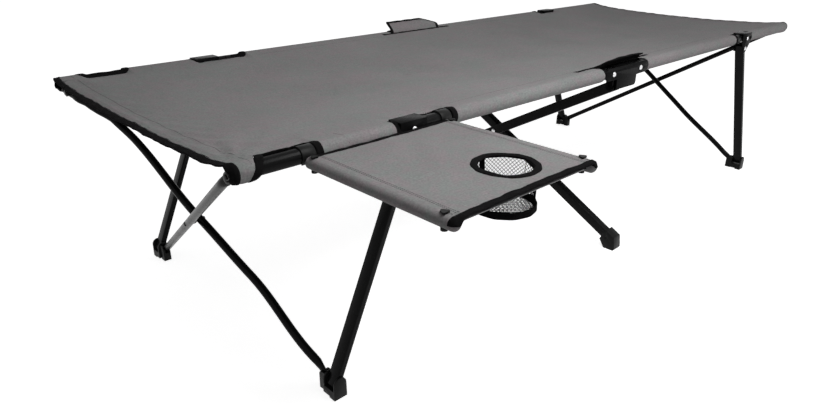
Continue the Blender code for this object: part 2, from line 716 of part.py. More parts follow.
def make_foot(end, side):
    """A moulded corner foot: two ears for the leg, a slotted block for the end brace."""
    sx, sy = ENDS[end], SIDES[side]
    _, pin = leg_pins(end, side)
    ear_inner = LEG_DEPTH / 2 + GAP
    ear_outer = ear_inner + FOOT_EAR
    below = -pin.z - SOLE_OVERCUT
    outline = [(-FOOT_HALF_LENGTH, below), (FOOT_HALF_LENGTH, below)]
    outline += arc((0, 0), FOOT_TOP_RADIUS, 0, 180, 8)
    block = plate(outline, 2 * ear_outer, plane((1, 0, 0), (0, 0, 1), pin))
    low = Vector((-0.03, -ear_inner, -FOOT_FLOOR_DROP))
    high = Vector((0.03, ear_inner, 0.03))
    cut(block, box(pin + low, pin + high))
    eye = Vector((pin.x, sy * EYE_Y, pin.z))
    start = -(BRACE_PIN_INSET - ear_outer + OVERLAP)
    deeper = below - OVERLAP
    inner = [(start, deeper), (FOOT_INNER_RADIUS, deeper)]
    inner += arc((0, 0), FOOT_INNER_RADIUS, 0, 90, 5) + [(start, FOOT_INNER_RADIUS)]
    half_slot = FOOT_EYE_THICKNESS / 2 + GAP
    width = 2 * (half_slot + EYE_SLOT_WALL)
    knuckle = plate(inner, width, plane((0, -sy, 0), (0, 0, 1), eye))
    reach = OVERLAP - start + FOOT_INNER_RADIUS
    y_from, y_to = sorted((-sy * (-BRACE_PIN_INSET + ear_outer + GAP), -sy * reach))
    slot_low = eye + Vector((-half_slot, y_from, -EYE_FLOOR_DROP))
    slot_high = eye + Vector((half_slot, y_to, 0.03))
    cut(knuckle, box(slot_low, slot_high))
    fuse(block, knuckle)
    axle = Vector((0, ear_outer - OVERLAP, 0))
    fuse(block, rod(pin - axle, pin + axle, PIN_RADIUS))
    axle = Vector((half_slot + EYE_SLOT_WALL - OVERLAP, 0, 0))
    fuse(block, rod(eye - axle, eye + axle, PIN_RADIUS))
    middle = pin + Vector((0, -sy * (ear_outer - PAD_GROOVE / 2), 0))
    groove_low = Vector((middle.x - 0.03, middle.y - PAD_GROOVE / 2, -0.01))
    groove_high = Vector((middle.x + 0.03, middle.y + PAD_GROOVE / 2, PAD_HEIGHT))
    sole = box((pin.x - 0.05, pin.y - 0.08, -0.02), (pin.x + 0.05, pin.y + 0.08, 0))
    cut(block, sole, box(groove_low, groove_high))
    return finish(block, f"foot_{side}_{end}", "plastic", pin, smooth=35)


def joggle(share):
    """How far inboard the inner tube of a pair lies, by its share of the way up."""
    knots = (
        (0.0, 0.0), (0.05, 0.0), (0.30, 0.85 * JOGGLE), (0.5, JOGGLE), (0.8, JOGGLE_HIGH),
        (0.94, JOGGLE_LAST), (0.97, 0.0), (1.0, 0.0),
    )
    for (a, low), (b, high) in zip(knots, knots[1:]):
        if share <= b:
            u = (share - a) / (b - a)
            return low + (high - low) * u * u * (3 - 2 * u)
    return 0.0


def brace_path(end, side):
    """Points, runs and half sizes along the end brace that starts in one foot."""
    sx, sy = ENDS[end], SIDES[side]
    foot = Vector((sx * FOOT_SPREAD, sy * EYE_Y, FOOT_PIN_HEIGHT))
    tip = Vector((sx * TIP_X, -sy * TIP_Y, TIP_Z))
    rise = Vector((0, tip.y - foot.y, tip.z - foot.z))
    length = rise.length
    rise.normalize()
    step_in = side == "near"
    shares = [0.035, 0.06, 0.11, 0.16, 0.21, 0.26, 0.32, 0.5, 0.72, 0.8, 0.86, 0.9, 0.94, 0.965]
    if not step_in:
        shares = [0.035, 0.06, 0.5, 0.94, 0.965]

    def centre(share):
        slant = min(max((share - 0.03) / 0.94, 0.0), 1.0)
        x = foot.x + (tip.x - foot.x) * slant
        if step_in:
            x -= sx * joggle(share)
        return Vector((x, foot.y, foot.z)) + rise * (length * share)

    return foot, tip, rise, length, [(share, centre(share)) for share in shares]


def make_end_brace(end, side):
    """A round end brace, flattened at both ends, from one foot to the opposite rail's end."""
    sx = ENDS[end]
    foot, tip, rise, length, path = brace_path(end, side)
    flat_foot = (FOOT_EYE_THICKNESS / 2, FOOT_EYE_RADIUS)
    flat_tip = (TIP_EYE_THICKNESS / 2, TIP_EYE_RADIUS)
    outer = [
        (foot - rise * 0.005, rise, flat_foot[0], 0.0065),
        (foot - rise * 0.002, rise, flat_foot[0], FOOT_EYE_RADIUS),
        (foot + rise * 0.010, rise, *flat_foot),
    ]
    inner = [(foot + rise * 0.0, rise, flat_foot[0] - WALL, FOOT_EYE_RADIUS - WALL)]
    centres = [point for _, point in path]
    for i, point in enumerate(centres):
        before = centres[i - 1] if i else foot
        after = centres[i + 1] if i + 1 < len(centres) else tip
        run = after - before
        outer.append((point, run, TUBE_RADIUS, TUBE_RADIUS))
        inner.append((point, run, TUBE_RADIUS - WALL, TUBE_RADIUS - WALL))
    for back, half_height in ((0.012, TIP_EYE_RADIUS), (-0.004, TIP_EYE_RADIUS), (-0.009, 0.005)):
        outer.append((tip - rise * back, rise, flat_tip[0], half_height))
    tube = loft(outer, TUBE_SIDES)
    cut(tube, loft(inner, TUBE_SIDES))
    reach = Vector((TUBE_RADIUS * 2, 0, 0))
    cut(tube, rod(foot - reach, foot + reach, HOLE_RADIUS))
    stub = Vector((sx * (TIP_EYE_THICKNESS / 2 + HEAD_HEIGHT), 0, 0))
    fuse(tube, rod(tip - stub, tip, HEAD_RADIUS))
    if side == "far":
        crossing = foot + rise * (length / 2)
        crossing.x = foot.x + (tip.x - foot.x) / 2
        inboard = Vector((-sx, 0, 0))
        spacer_end = JOGGLE - TUBE_RADIUS - CROSS_GAP
        outboard = crossing - inboard * (TUBE_RADIUS + HEAD_HEIGHT)
        fuse(tube, rod(crossing + inboard * spacer_end, outboard, CROSS_SPACER_RADIUS))
    return finish(tube, f"end_brace_{side}_{end}", "black", foot, smooth=35)


def make_hem(end, side):
    """The cloth hem round a rail, cut away over the table's clip and the leg's bracket."""
    start = rail_point(end, side, HEM_START)
    stop = rail_point(end, side, HEM_END)
    hem = pipe(start, stop, HEM_OUTER, HEM_THICKNESS)
    margin = 2 * HEM_OUTER
    for low, high in WINDOWS[end]:
        corner = rail_point(end, side, low)
        other = rail_point(end, side, high)
        x_low, x_high = sorted((corner.x, other.x))
        cut(hem, box(
            (x_low, corner.y - margin, RAIL_HEIGHT - WINDOW_FLOOR),
            (x_high, corner.y + margin, RAIL_HEIGHT + margin),
        ))
    origin = rail_point(end, side, HINGE_PIVOT)
    return finish(hem, f"bed_hem_{side}_{end}", "cloth", origin, smooth=35)


def cloth_edge(x):
    """Half width of the bed cloth at a place along the bed."""
    lower = CLOTH_RISE - CLOTH_THICKNESS
    full = HALF_WIDTH - math.sqrt(HEM_OUTER**2 - lower**2) - 1.5 * GAP
    clear = HALF_WIDTH - max(CHEEK_OUTER, BRACKET_OUTER, CLIP_OUTER) - 2 * GAP
    out = abs(x)
    if out < HEM_START - GAP:
        return clear
    for low, high in WINDOWS["left" if x < 0 else "right"]:
        if low <= out <= high:
            return clear - WINDOW_ARC * math.sin(math.pi * (out - low) / (high - low))
    return full


def cloth_height(x, y):
    """Height of the bed cloth's upper face."""
    edge = (HEM_END - abs(x)) / 0.3
    slack = 0.3 + 0.7 * min(max(edge, 0.0), 1.0) ** 0.5
    across = min(abs(y) / (HALF_WIDTH - HEM_OUTER), 1.0)
    return RAIL_HEIGHT + CLOTH_RISE - CLOTH_SAG * slack * (1 - across**2)


def make_cloth(name, columns, scoop, origin, rows=8):
    """A piece of the bed cloth between columns at the given places along the bed."""
    bm = bmesh.new()
    bmesh.ops.create_grid(bm, x_segments=len(columns) - 1, y_segments=rows, size=1)
    last = len(columns) - 1
    outer = max(abs(x) for x in columns)
    for vert in bm.verts:
        column = round((vert.co.x + 1) / 2 * last)
        across = vert.co.y
        x = columns[column]
        y = across * cloth_edge(x)
        if scoop and abs(x) == outer:
            x -= math.copysign(scoop * (1 - across**4), x)
        vert.co = (x, y, cloth_height(x, y))
    bmesh.ops.recalc_face_normals(bm, faces=bm.faces)
    if sum(face.normal.z for face in bm.faces) < 0:
        bmesh.ops.reverse_faces(bm, faces=bm.faces)
    mesh = bpy.data.meshes.new(name)
    bm.to_mesh(mesh)
    bm.free()
    sheet = thicken(new_object(name, mesh), CLOTH_THICKNESS)
    return finish(sheet, name, "cloth", origin, smooth=35)


def make_side_cloth(end):
    """The bed cloth on one half of the bed."""
    sx = ENDS[end]
    low, high = LEG_WINDOW
    marks = [
        CLOTH_SPLIT + GAP / 2, HEM_START - 2 * GAP, HEM_START + 4 * GAP, low / 2,
        low - (high - low) / 4, low + (high - low) / 4, high - (high - low) / 4,
    ]
    for low, high in WINDOWS[end]:
        marks += [low - WINDOW_STEP, low, (low + high) / 2, high, high + WINDOW_STEP]
    columns = [sx * x for x in sorted(marks + [HEM_END])]
    scoop = LEFT_SCOOP if end == "left" else RIGHT_SCOOP
    origin = rail_point(end, "near", HINGE_PIVOT)
    return make_cloth(f"bed_cloth_{end}", columns, scoop, origin)


def make_middle_cloth():
    """The narrow piece of bed cloth between the hinges."""
    half = CLOTH_SPLIT - GAP / 2
    return make_cloth("bed_cloth_middle", [-half, 0.0, half], 0, (0, -HALF_WIDTH, RAIL_HEIGHT))


def make_flap(side):
    """The cloth flap that arches over a hinge plate."""
    sy = SIDES[side]
    rise = CLOTH_RISE + GAP
    finish_angle = 180 - math.degrees(math.asin(rise / FLAP_RADIUS))
    outer = FLAP_RADIUS + FLAP_THICKNESS
    outline = arc((0, 0), outer, FLAP_START, finish_angle, 12)
    outline += arc((0, 0), FLAP_RADIUS, finish_angle, FLAP_START, 12)
    place = plane((0, sy, 0), (0, 0, 1), (0, sy * HALF_WIDTH, RAIL_HEIGHT))
    flap = plate(outline, FLAP_LENGTH, place)
    return finish(flap, f"bed_flap_{side}", "cloth", (0, sy * HALF_WIDTH, RAIL_HEIGHT), smooth=35)


RAIL_AXIS = (TABLE_LEFT, -HALF_WIDTH, RAIL_HEIGHT)


def table_point(x, out, z=ARM_Z):
    """A point of the table, out from the rail axis."""
    return Vector((x, -HALF_WIDTH - out, z))


def screw_holes(piece, spots):
    """Drills a piece for the table's screws."""
    reach = Vector((0, 0, 0.03))
    for x, out in spots:
        spot = table_point(x, out)
        cut(piece, rod(spot - reach, spot + reach, SCREW_RADIUS + PIN_GAP))
    return piece


def make_arm(name, x):
    """A tubular table arm."""
    arm = pipe(
        table_point(x, ARM_START), table_point(x, TABLE_EDGE - ARM_INSET), ARM_RADIUS, ARM_WALL, 16,
    )
    screw_holes(arm, ((x, SCREW_INNER), (x, SCREW_OUTER)))
    return finish(arm, name, "black", RAIL_AXIS, smooth=35)


def make_clip(name, x):
    """A hook over the bare rail with a plug in the arm's end."""
    inner_tip, outer_tip = CLIP_MOUTH
    outline = arc((0, 0), CLIP_OUTER, outer_tip, inner_tip + 360, 14)
    outline += arc((0, 0), CLIP_INNER, inner_tip + 360, outer_tip, 14)
    place = plane((0, -1, 0), (0, 0, 1), (x, -HALF_WIDTH, RAIL_HEIGHT))
    clip = plate(outline, CLIP_LENGTH, place)
    plug = rod(
        table_point(x, CLIP_INNER + 0.001), table_point(x, ARM_START + CLIP_PLUG_LENGTH),
        ARM_RADIUS - ARM_WALL - GAP, 14,
    )
    fuse(clip, cut(plug, rod(
        table_point(x - CLIP_LENGTH, 0, RAIL_HEIGHT), table_point(x + CLIP_LENGTH, 0, RAIL_HEIGHT),
        CLIP_INNER + 0.0004, 16,
    )))
    screw_holes(clip, ((x, SCREW_INNER),))
    return finish(clip, name, "plastic", RAIL_AXIS, smooth=35)


def make_table_screw(name, x, out):
    """A lobed screw through an arm, with its cap below."""
    top = table_point(x, out, TABLE_TOP_Z + GAP)
    bottom = table_point(x, out, ARM_Z - TABLE_HEM_OUTER - GAP)
    shank_top = top + Vector((0, 0, SCREW_HEAD_HEIGHT / 2))
    cap_end = bottom - Vector((0, 0, SCREW_CAP_HEIGHT))
    screw = rod(bottom - Vector((0, 0, SCREW_CAP_HEIGHT / 2)), shank_top, SCREW_RADIUS)
    lobes = []
    for i in range(3):
        middle = 90 + 120 * i
        angle = math.radians(middle)
        reach = SCREW_HEAD_RADIUS - SCREW_LOBE_RADIUS
        centre = (reach * math.cos(angle), reach * math.sin(angle))
        lobes += arc(centre, SCREW_LOBE_RADIUS, middle - 75, middle + 75, 5)
    place = plane((1, 0, 0), (0, 1, 0), top + Vector((0, 0, SCREW_HEAD_HEIGHT / 2)))
    fuse(screw, plate(lobes, SCREW_HEAD_HEIGHT, place))
    fuse(screw, rod(bottom, cap_end, SCREW_CAP_RADIUS))
    return finish(screw, name, "plastic", RAIL_AXIS, smooth=35)


def make_table_cloth():
    """The cloth top: a hem round each arm and a flat sheet with a hole for the cup."""
    start = -HALF_WIDTH - ARM_START
    stop = -HALF_WIDTH - TABLE_EDGE
    left, right = TABLE_LEFT, TABLE_RIGHT
    under = math.degrees(math.asin((TABLE_HEM_OUTER - TABLE_CLOTH_THICKNESS) / TABLE_HEM_OUTER))
    outline = [(x + left, z) for x, z in arc((0, 0), TABLE_HEM_OUTER, 90, 360 + under, 11)]
    outline += [
        (x + right, z) for x, z in arc((0, 0), TABLE_HEM_OUTER, 180 - under, 360 + 90, 11)
    ]
    holes = [
        [(x + centre, z) for x, z in arc((0, 0), TABLE_HEM_INNER, 0, 330, 11)]
        for centre in (left, right)
    ]
    place = plane((1, 0, 0), (0, 0, 1), (0, (start + stop) / 2, ARM_Z))
    cloth = plate(outline, start - stop, place, holes)
    inset = TABLE_HEM_OUTER + GAP
    cut(cloth, box(
        (left + inset, -HALF_WIDTH - TABLE_CLOTH_START, ARM_Z - 0.02),
        (right - inset, start + 0.01, ARM_Z + 0.02),
    ))
    spot = table_point(CUP_X, CUP_OUT)
    reach = Vector((0, 0, 0.03))
    cut(cloth, rod(spot - reach, spot + reach, CUP_RADIUS + 2 * GAP, 24))
    screw_holes(cloth, [(x, out) for x in (left, right) for out in (SCREW_INNER, SCREW_OUTER)])
    return finish(cloth, "table_cloth", "cloth", RAIL_AXIS, smooth=35)


def make_spreader():
    """The bar that holds the arms apart."""
    inset = TABLE_HEM_OUTER + GAP
    bar = rod(
        table_point(TABLE_LEFT + inset, SPREADER_OUT),
        table_point(TABLE_RIGHT - inset, SPREADER_OUT), SPREADER_RADIUS,
    )
    return finish(bar, "table_spreader", "black", RAIL_AXIS, smooth=35)


def make_cup():
    """The cup pocket: a rim on the cloth and a thin bag below it."""
    rim = CUP_RADIUS + CUP_RIM
    top = CUP_WALL + GAP
    inner = CUP_RADIUS - CUP_WALL
    profile = [
        (0, CUP_WALL - CUP_DEPTH), (inner, CUP_WALL - CUP_DEPTH), (inner, top), (rim, top),
        (rim, GAP), (CUP_RADIUS, GAP), (CUP_RADIUS, -CUP_DEPTH), (0, -CUP_DEPTH),
    ]
    cup = turned(profile, table_point(CUP_X, CUP_OUT, TABLE_TOP_Z), (0, 0, 1), 24)
    return finish(cup, "cup_pocket", "mesh", RAIL_AXIS, smooth=35)


def main():
    """Builds every piece of the cot."""
    for side in SIDES:
        make_hinge_plate(side)
        make_centre_brace(side)
        make_boot(side)
        make_flap(side)
        for end in ENDS:
            make_rail(end, side)
            make_rail_end(end, side)
            make_hinge_rivet(end, side)
            make_bracket(end, side)
            make_leg_pin(end, side)
            make_leg(end, side)
            make_foot(end, side)
            make_end_brace(end, side)
            make_hem(end, side)
    make_cross_pin()
    make_middle_cloth()
    for end in ENDS:
        make_side_cloth(end)
    make_table_cloth()
    make_spreader()
    make_cup()
    for name, x in (("left", TABLE_LEFT), ("right", TABLE_RIGHT)):
        make_arm(f"table_arm_{name}", x)
        make_clip(f"table_clip_{name}", x)
        make_table_screw(f"table_screw_inner_{name}", x, SCREW_INNER)
        make_table_screw(f"table_screw_outer_{name}", x, SCREW_OUTER)


main()
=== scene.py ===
"""The looks of a folding camping cot with a clip-on side table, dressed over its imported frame.

Lengths are in metres. Cloth is laid out on surfaces of two measures: x along the bed or out along
the table, and s, the arc length across the cloth.
"""
from __future__ import annotations

import json
import logging
import math
from collections.abc import Callable, Iterator, Sequence
from contextlib import contextmanager
from dataclasses import dataclass, field
from enum import Enum

import bpy
import numpy as np
from mathutils import Matrix, Vector


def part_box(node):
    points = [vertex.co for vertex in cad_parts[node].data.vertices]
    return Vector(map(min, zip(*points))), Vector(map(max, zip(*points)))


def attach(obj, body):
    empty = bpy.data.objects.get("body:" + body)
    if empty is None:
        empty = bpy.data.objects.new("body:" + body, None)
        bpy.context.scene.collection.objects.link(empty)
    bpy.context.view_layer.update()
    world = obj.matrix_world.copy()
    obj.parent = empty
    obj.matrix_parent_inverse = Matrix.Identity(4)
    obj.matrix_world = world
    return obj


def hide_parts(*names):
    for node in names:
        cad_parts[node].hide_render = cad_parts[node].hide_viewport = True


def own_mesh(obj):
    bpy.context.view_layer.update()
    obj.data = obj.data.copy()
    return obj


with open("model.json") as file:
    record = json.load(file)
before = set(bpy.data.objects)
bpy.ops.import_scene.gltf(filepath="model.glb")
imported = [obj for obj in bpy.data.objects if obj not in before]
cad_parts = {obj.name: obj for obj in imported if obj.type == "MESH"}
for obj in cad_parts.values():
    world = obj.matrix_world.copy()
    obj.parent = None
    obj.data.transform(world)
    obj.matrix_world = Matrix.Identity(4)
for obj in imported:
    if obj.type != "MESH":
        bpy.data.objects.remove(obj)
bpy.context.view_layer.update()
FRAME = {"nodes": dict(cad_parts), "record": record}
LOG = logging.getLogger("camping_cot")

Colour = tuple[float, float, float]
Surface = Callable[[np.ndarray, np.ndarray], np.ndarray]


class Way(Enum):
    """A direction, by its sign."""

    @property
    def tag(self) -> str:
        """Its word in the names of pieces."""
        return self.name.lower()


class Side(Way):
    """The two long sides of the bed, by the sign of Y."""

    NEAR = -1
    FAR = 1


class End(Way):
    """The two ends of the bed, by the sign of X."""

    LEFT = -1
    RIGHT = 1


def corners() -> Iterator[tuple[Side, End, str]]:
    """The bed's four corners, each with the last words of its pieces' names."""
    for side in Side:
        for end in End:
            yield side, end, f"{side.tag}_{end.tag}"


# Shader maths


class Socket:
    """A shader output that takes part in arithmetic; each operator adds a Math node."""

    def __init__(self, sheet: Shading, out: bpy.types.NodeSocket) -> None:
        """Keeps the output and the shading it belongs to."""
        self.sheet = sheet
        self.out = out

    def maths(self, operation: str, *others: Socket | float) -> Socket:
        """Adds a Math node.

        Args:
            operation: The node's operation.
            others: The second and third values.

        Returns:
            The node's result.
        """
        values = dict(enumerate((self, *others)))
        return self.sheet.node("ShaderNodeMath", {"operation": operation}, values)

    def __add__(self, other: Socket | float) -> Socket:
        """Adds."""
        return self.maths("ADD", other)

    def __radd__(self, other: float) -> Socket:
        """Adds to a plain number."""
        return self.maths("ADD", other)

    def __sub__(self, other: Socket | float) -> Socket:
        """Subtracts."""
        return self.maths("SUBTRACT", other)

    def __rsub__(self, other: float) -> Socket:
        """Subtracts from a plain number."""
        return self.sheet.node("ShaderNodeMath", {"operation": "SUBTRACT"}, {0: other, 1: self})

    def __mul__(self, other: Socket | float) -> Socket:
        """Multiplies."""
        return self.maths("MULTIPLY", other)

    def __rmul__(self, other: float) -> Socket:
        """Multiplies a plain number."""
        return self.maths("MULTIPLY", other)

    def sine(self) -> Socket:
        """The sine."""
        return self.maths("SINE")

    def kept(self) -> Socket:
        """The value kept between nought and one."""
        return self.sheet.node("ShaderNodeClamp", {}, {"Value": self})


class Shading:
    """The node tree of a material or a world."""

    def __init__(self, owner: bpy.types.Material | bpy.types.World) -> None:
        """Turns the owner's nodes on."""
        owner.use_nodes = True
        self.owner = owner
        self.tree = owner.node_tree

    def plug(self, socket: bpy.types.NodeSocket, value: Socket | float | Sequence[float]) -> None:
        """Links a socket or sets its value."""
        if isinstance(value, Socket):
            self.tree.links.new(value.out, socket)
        elif isinstance(value, (int, float)):
            socket.default_value = value
        elif socket.type == "RGBA":
            socket.default_value = (*value[:3], 1.0)
        else:
            socket.default_value = tuple(value)

    def node(
        self,
        kind: str,
        settings: dict[str, object] | None = None,
        values: dict[int | str, Socket | float | Sequence[float]] | None = None,
        output: int | str = 0,
    ) -> Socket:
        """Adds a node.

        Args:
            kind: The node's type.
            settings: Its settings, set first.
            values: Values or links of its sockets.
            output: Which output is wanted.

        Returns:
            That output.
        """
        made = self.tree.nodes.new(kind)
        for key, value in (settings or {}).items():
            setattr(made, key, value)
        for key, value in (values or {}).items():
            self.plug(made.inputs[key], value)
        return Socket(self, made.outputs[output])

    def blend(
        self, share: Socket | float, first: object, second: object, mode: str = "MIX",
    ) -> Socket:
        """Mixes two colours, or multiplies them."""
        settings = {"data_type": "RGBA", "blend_type": mode}
        return self.node("ShaderNodeMix", settings, {0: share, 6: first, 7: second}, output=2)

    def grain(
        self, scale: float, detail: float = 2.0, stretch: Sequence[float] = (1, 1, 1),
    ) -> Socket:
        """Noise on object coordinates.

        Args:
            scale: Grains in a metre.
            detail: Octaves.
            stretch: Scale of each axis before the noise.

        Returns:
            The noise, about 0.5 in the middle.
        """
        place = self.node("ShaderNodeTexCoord", output="Object")
        turned = self.node("ShaderNodeMapping", {}, {"Vector": place, "Scale": stretch})
        values = {"Vector": turned, "Scale": scale, "Detail": detail}
        return self.node("ShaderNodeTexNoise", {}, values)

    def cloth_axes(self) -> tuple[Socket, Socket]:
        """The two measures of the piece's own cloth map, in metres."""
        place = self.node("ShaderNodeUVMap", {"uv_map": "cloth"})
        along = self.node("ShaderNodeSeparateXYZ", {}, {0: place}, output="X")
        across = self.node("ShaderNodeSeparateXYZ", {}, {0: place}, output="Y")
        return along, across

    def bump(self, height: Socket, distance: float, strength: float = 1.0) -> None:
        """Feeds a height to the shader's normal."""
        values = {"Height": height, "Distance": distance, "Strength": strength}
        normal = self.node("ShaderNodeBump", {}, values)
        self.plug(self.tree.nodes["Principled BSDF"].inputs["Normal"], normal)

    def surface(self, **inputs: Socket | float | Sequence[float]) -> bpy.types.Material:
        """Sets the shader's sockets, named with underscores, and returns the material."""
        shader = self.tree.nodes["Principled BSDF"]
        for name, value in inputs.items():
            label = "Specular IOR Level" if name == "Specular" else name.replace("_", " ")
            self.plug(shader.inputs[label], value)
        return self.owner


# Finishes


def toned(colour: Colour, share: float) -> Colour:
    """A colour made lighter or darker."""
    return tuple(c * share for c in colour)


@dataclass(frozen=True)
class Finish:
    """A finish whose material is made once."""

    label: str
    slot: str

    def shade(self, sheet: Shading) -> bpy.types.Material:
        """Builds the nodes."""
        raise NotImplementedError

    def material(self) -> bpy.types.Material:
        """The finish's material."""
        made = bpy.data.materials.get(self.label)
        return made or self.shade(Shading(bpy.data.materials.new(self.label)))


@dataclass(frozen=True)
class Canvas(Finish):
    """Plain-woven polyester canvas."""

    colour: Colour = (0.178, 0.176, 0.176)
    thread: float = 0.0011
    mottle: float = 0.30
    cool: Colour = (0.955, 1.025, 0.995)
    warm: Colour = (1.075, 0.975, 1.01)
    bump_height: float = 0.00022

    def shade(self, sheet: Shading) -> bpy.types.Material:
        """Weave of warp and weft, flecks, and slow changes of tone."""
        along, across = sheet.cloth_axes()
        turns = 2 * math.pi / self.thread
        warp = (along * turns).sine()
        weft = (across * turns).sine()
        weave = warp * weft * 0.5 + 0.5
        fleck = sheet.grain(330.0, 3.0)
        slub_long = sheet.grain(1.0, 2.0, (40.0, 900.0, 300.0))
        slub_cross = sheet.grain(1.0, 2.0, (900.0, 40.0, 300.0))
        cloud = sheet.grain(5.0, 3.0)
        tone = (
            0.5 + (fleck - 0.5) * 1.3 + (slub_long - 0.5) * 0.5 + (slub_cross - 0.5) * 0.4
            + (cloud - 0.5) * 0.55 + (weave - 0.5) * 0.22
        ).kept()
        dark, light = toned(self.colour, 1 - self.mottle), toned(self.colour, 1 + self.mottle)
        plain = sheet.blend(tone, dark, light)
        small, large = sheet.grain(70.0, 2.0), sheet.grain(9.0, 2.0)
        patch = ((small - 0.5) * 3.2 + (large - 0.5) * 1.6 + 0.5).kept()
        tint = sheet.blend(patch, self.cool, self.warm)
        tinted = sheet.blend(1.0, plain, tint, "MULTIPLY")
        sheet.bump(weave * 0.6 + fleck * 0.8 + slub_long * 0.6, self.bump_height, 0.8)
        rough = 0.85 + (fleck - 0.5) * 0.2
        return sheet.surface(Base_Color=tinted, Roughness=rough, Specular=0.12)


@dataclass(frozen=True)
class Webbing(Finish):
    """Ribbed black binding tape."""

    colour: Colour = (0.0052, 0.0050, 0.0052)
    rib: float = 0.0013

    def shade(self, sheet: Shading) -> bpy.types.Material:
        """Ribs across the tape, a lighter worn fleck, and a painted sheen: the ribs lighten the
        colour.
        """
        along, across = sheet.cloth_axes()
        ribs = (along * (2 * math.pi / self.rib)).sine() * 0.5 + 0.5
        rows = (across * (2 * math.pi / (self.rib * 1.6))).sine() * 0.5 + 0.5
        fleck = sheet.grain(420.0, 3.0)
        worn = ((fleck - 0.52) * 4.0).kept() * 0.5
        # Painted sheen: the colour is lighter along the ribs; the worn fleck is wear.
        shade = sheet.blend(worn + ribs * 0.25, self.colour, toned(self.colour, 2.4))
        sheet.bump(ribs * 0.7 + rows * 0.4 + fleck * 0.5, 0.00025, 0.9)
        rough = 0.62 + (fleck - 0.5) * 0.3
        return sheet.surface(Base_Color=shade, Roughness=rough, Specular=0.004)


@dataclass(frozen=True)
class Thread(Finish):
    """Sewing thread."""

    colour: Colour = (0.06, 0.06, 0.062)

    def shade(self, sheet: Shading) -> bpy.types.Material:
        """Twisted thread with a slight gloss."""
        twist = sheet.grain(900.0, 1.0, (3.0, 1.0, 1.0))
        shade = sheet.blend(twist, self.colour, toned(self.colour, 1.7))
        sheet.bump(twist, 0.0001)
        return sheet.surface(Base_Color=shade, Roughness=0.6, Specular=0.3)


@dataclass(frozen=True)
class Paint(Finish):
    """Satin black stove enamel on steel."""

    colour: Colour = (0.0036, 0.0036, 0.0038)
    rough: float = 0.26
    specular: float = 0.055

    def shade(self, sheet: Shading) -> bpy.types.Material:
        """Fine orange peel, rubbed patches and a few dull scuffs."""
        peel = sheet.grain(650.0, 2.0)
        rubbed = ((sheet.grain(28.0, 4.0) - 0.5) * 5.0).kept()
        scuff = ((sheet.grain(1.0, 3.0, (130.0, 420.0, 260.0)) - 0.62) * 9.0).kept()
        lighter = tuple(c * 1.8 + 0.0006 for c in self.colour)
        shade = sheet.blend(rubbed * 0.35 + scuff * 0.4, self.colour, lighter)
        sheet.bump(peel, 0.00005, 0.6)
        rough = self.rough + rubbed * 0.06 + scuff * 0.16
        return sheet.surface(Base_Color=shade, Roughness=rough, Specular=self.specular)


@dataclass(frozen=True)
class Zinc(Finish):
    """Bright zinc plate."""

    colour: Colour = (0.66, 0.66, 0.67)

    def shade(self, sheet: Shading) -> bpy.types.Material:
        """Fine scratches and cloudy patches."""
        scratch = sheet.grain(1.0, 2.0, (2600.0, 500.0, 900.0))
        cloudy = sheet.grain(240.0, 3.0)
        shade = sheet.blend(cloudy, toned(self.colour, 0.78), self.colour)
        sheet.bump(scratch, 0.00003, 0.5)
        return sheet.surface(Base_Color=shade, Metallic=1.0, Roughness=0.22 + cloudy * 0.16)


@dataclass(frozen=True)
class Moulding(Finish):
    """Moulded black plastic with a fine spark-eroded grain."""

    colour: Colour = (0.0042, 0.0043, 0.0042)
    rough: float = 0.42

    def shade(self, sheet: Shading) -> bpy.types.Material:
        """Grain in the bump and roughness, with paler rubbed patches."""
        spark = sheet.grain(1500.0, 2.0)
        rubbed = ((sheet.grain(60.0, 3.0) - 0.48) * 4.0).kept()
        shade = sheet.blend(rubbed * 0.6, self.colour, toned(self.colour, 2.0))
        sheet.bump(spark, 0.00006, 0.7)
        rough = self.rough + (spark - 0.5) * 0.2 + rubbed * 0.06
        return sheet.surface(Base_Color=shade, Roughness=rough, Specular=0.09)


CANVAS = Canvas("canvas_grey", "cloth")
TAPE = Webbing("binding_black", "cloth")
SEWING = Thread("sewing_thread", "cloth")
DARK_SEWING = Thread("sewing_thread_dark", "cloth", colour=(0.02, 0.02, 0.02))
NETTING = Webbing("netting_black", "mesh", colour=(0.004, 0.004, 0.004))
ENAMEL = Paint("enamel_black", "black_frame")
MATT_ENAMEL = Paint("enamel_matt_black", "black_frame", specular=0.012)
BRIGHT = Zinc("zinc_bright", "zinc")
PLASTIC = Moulding("plastic_black", "plastic")


# The bench: operators used as by hand


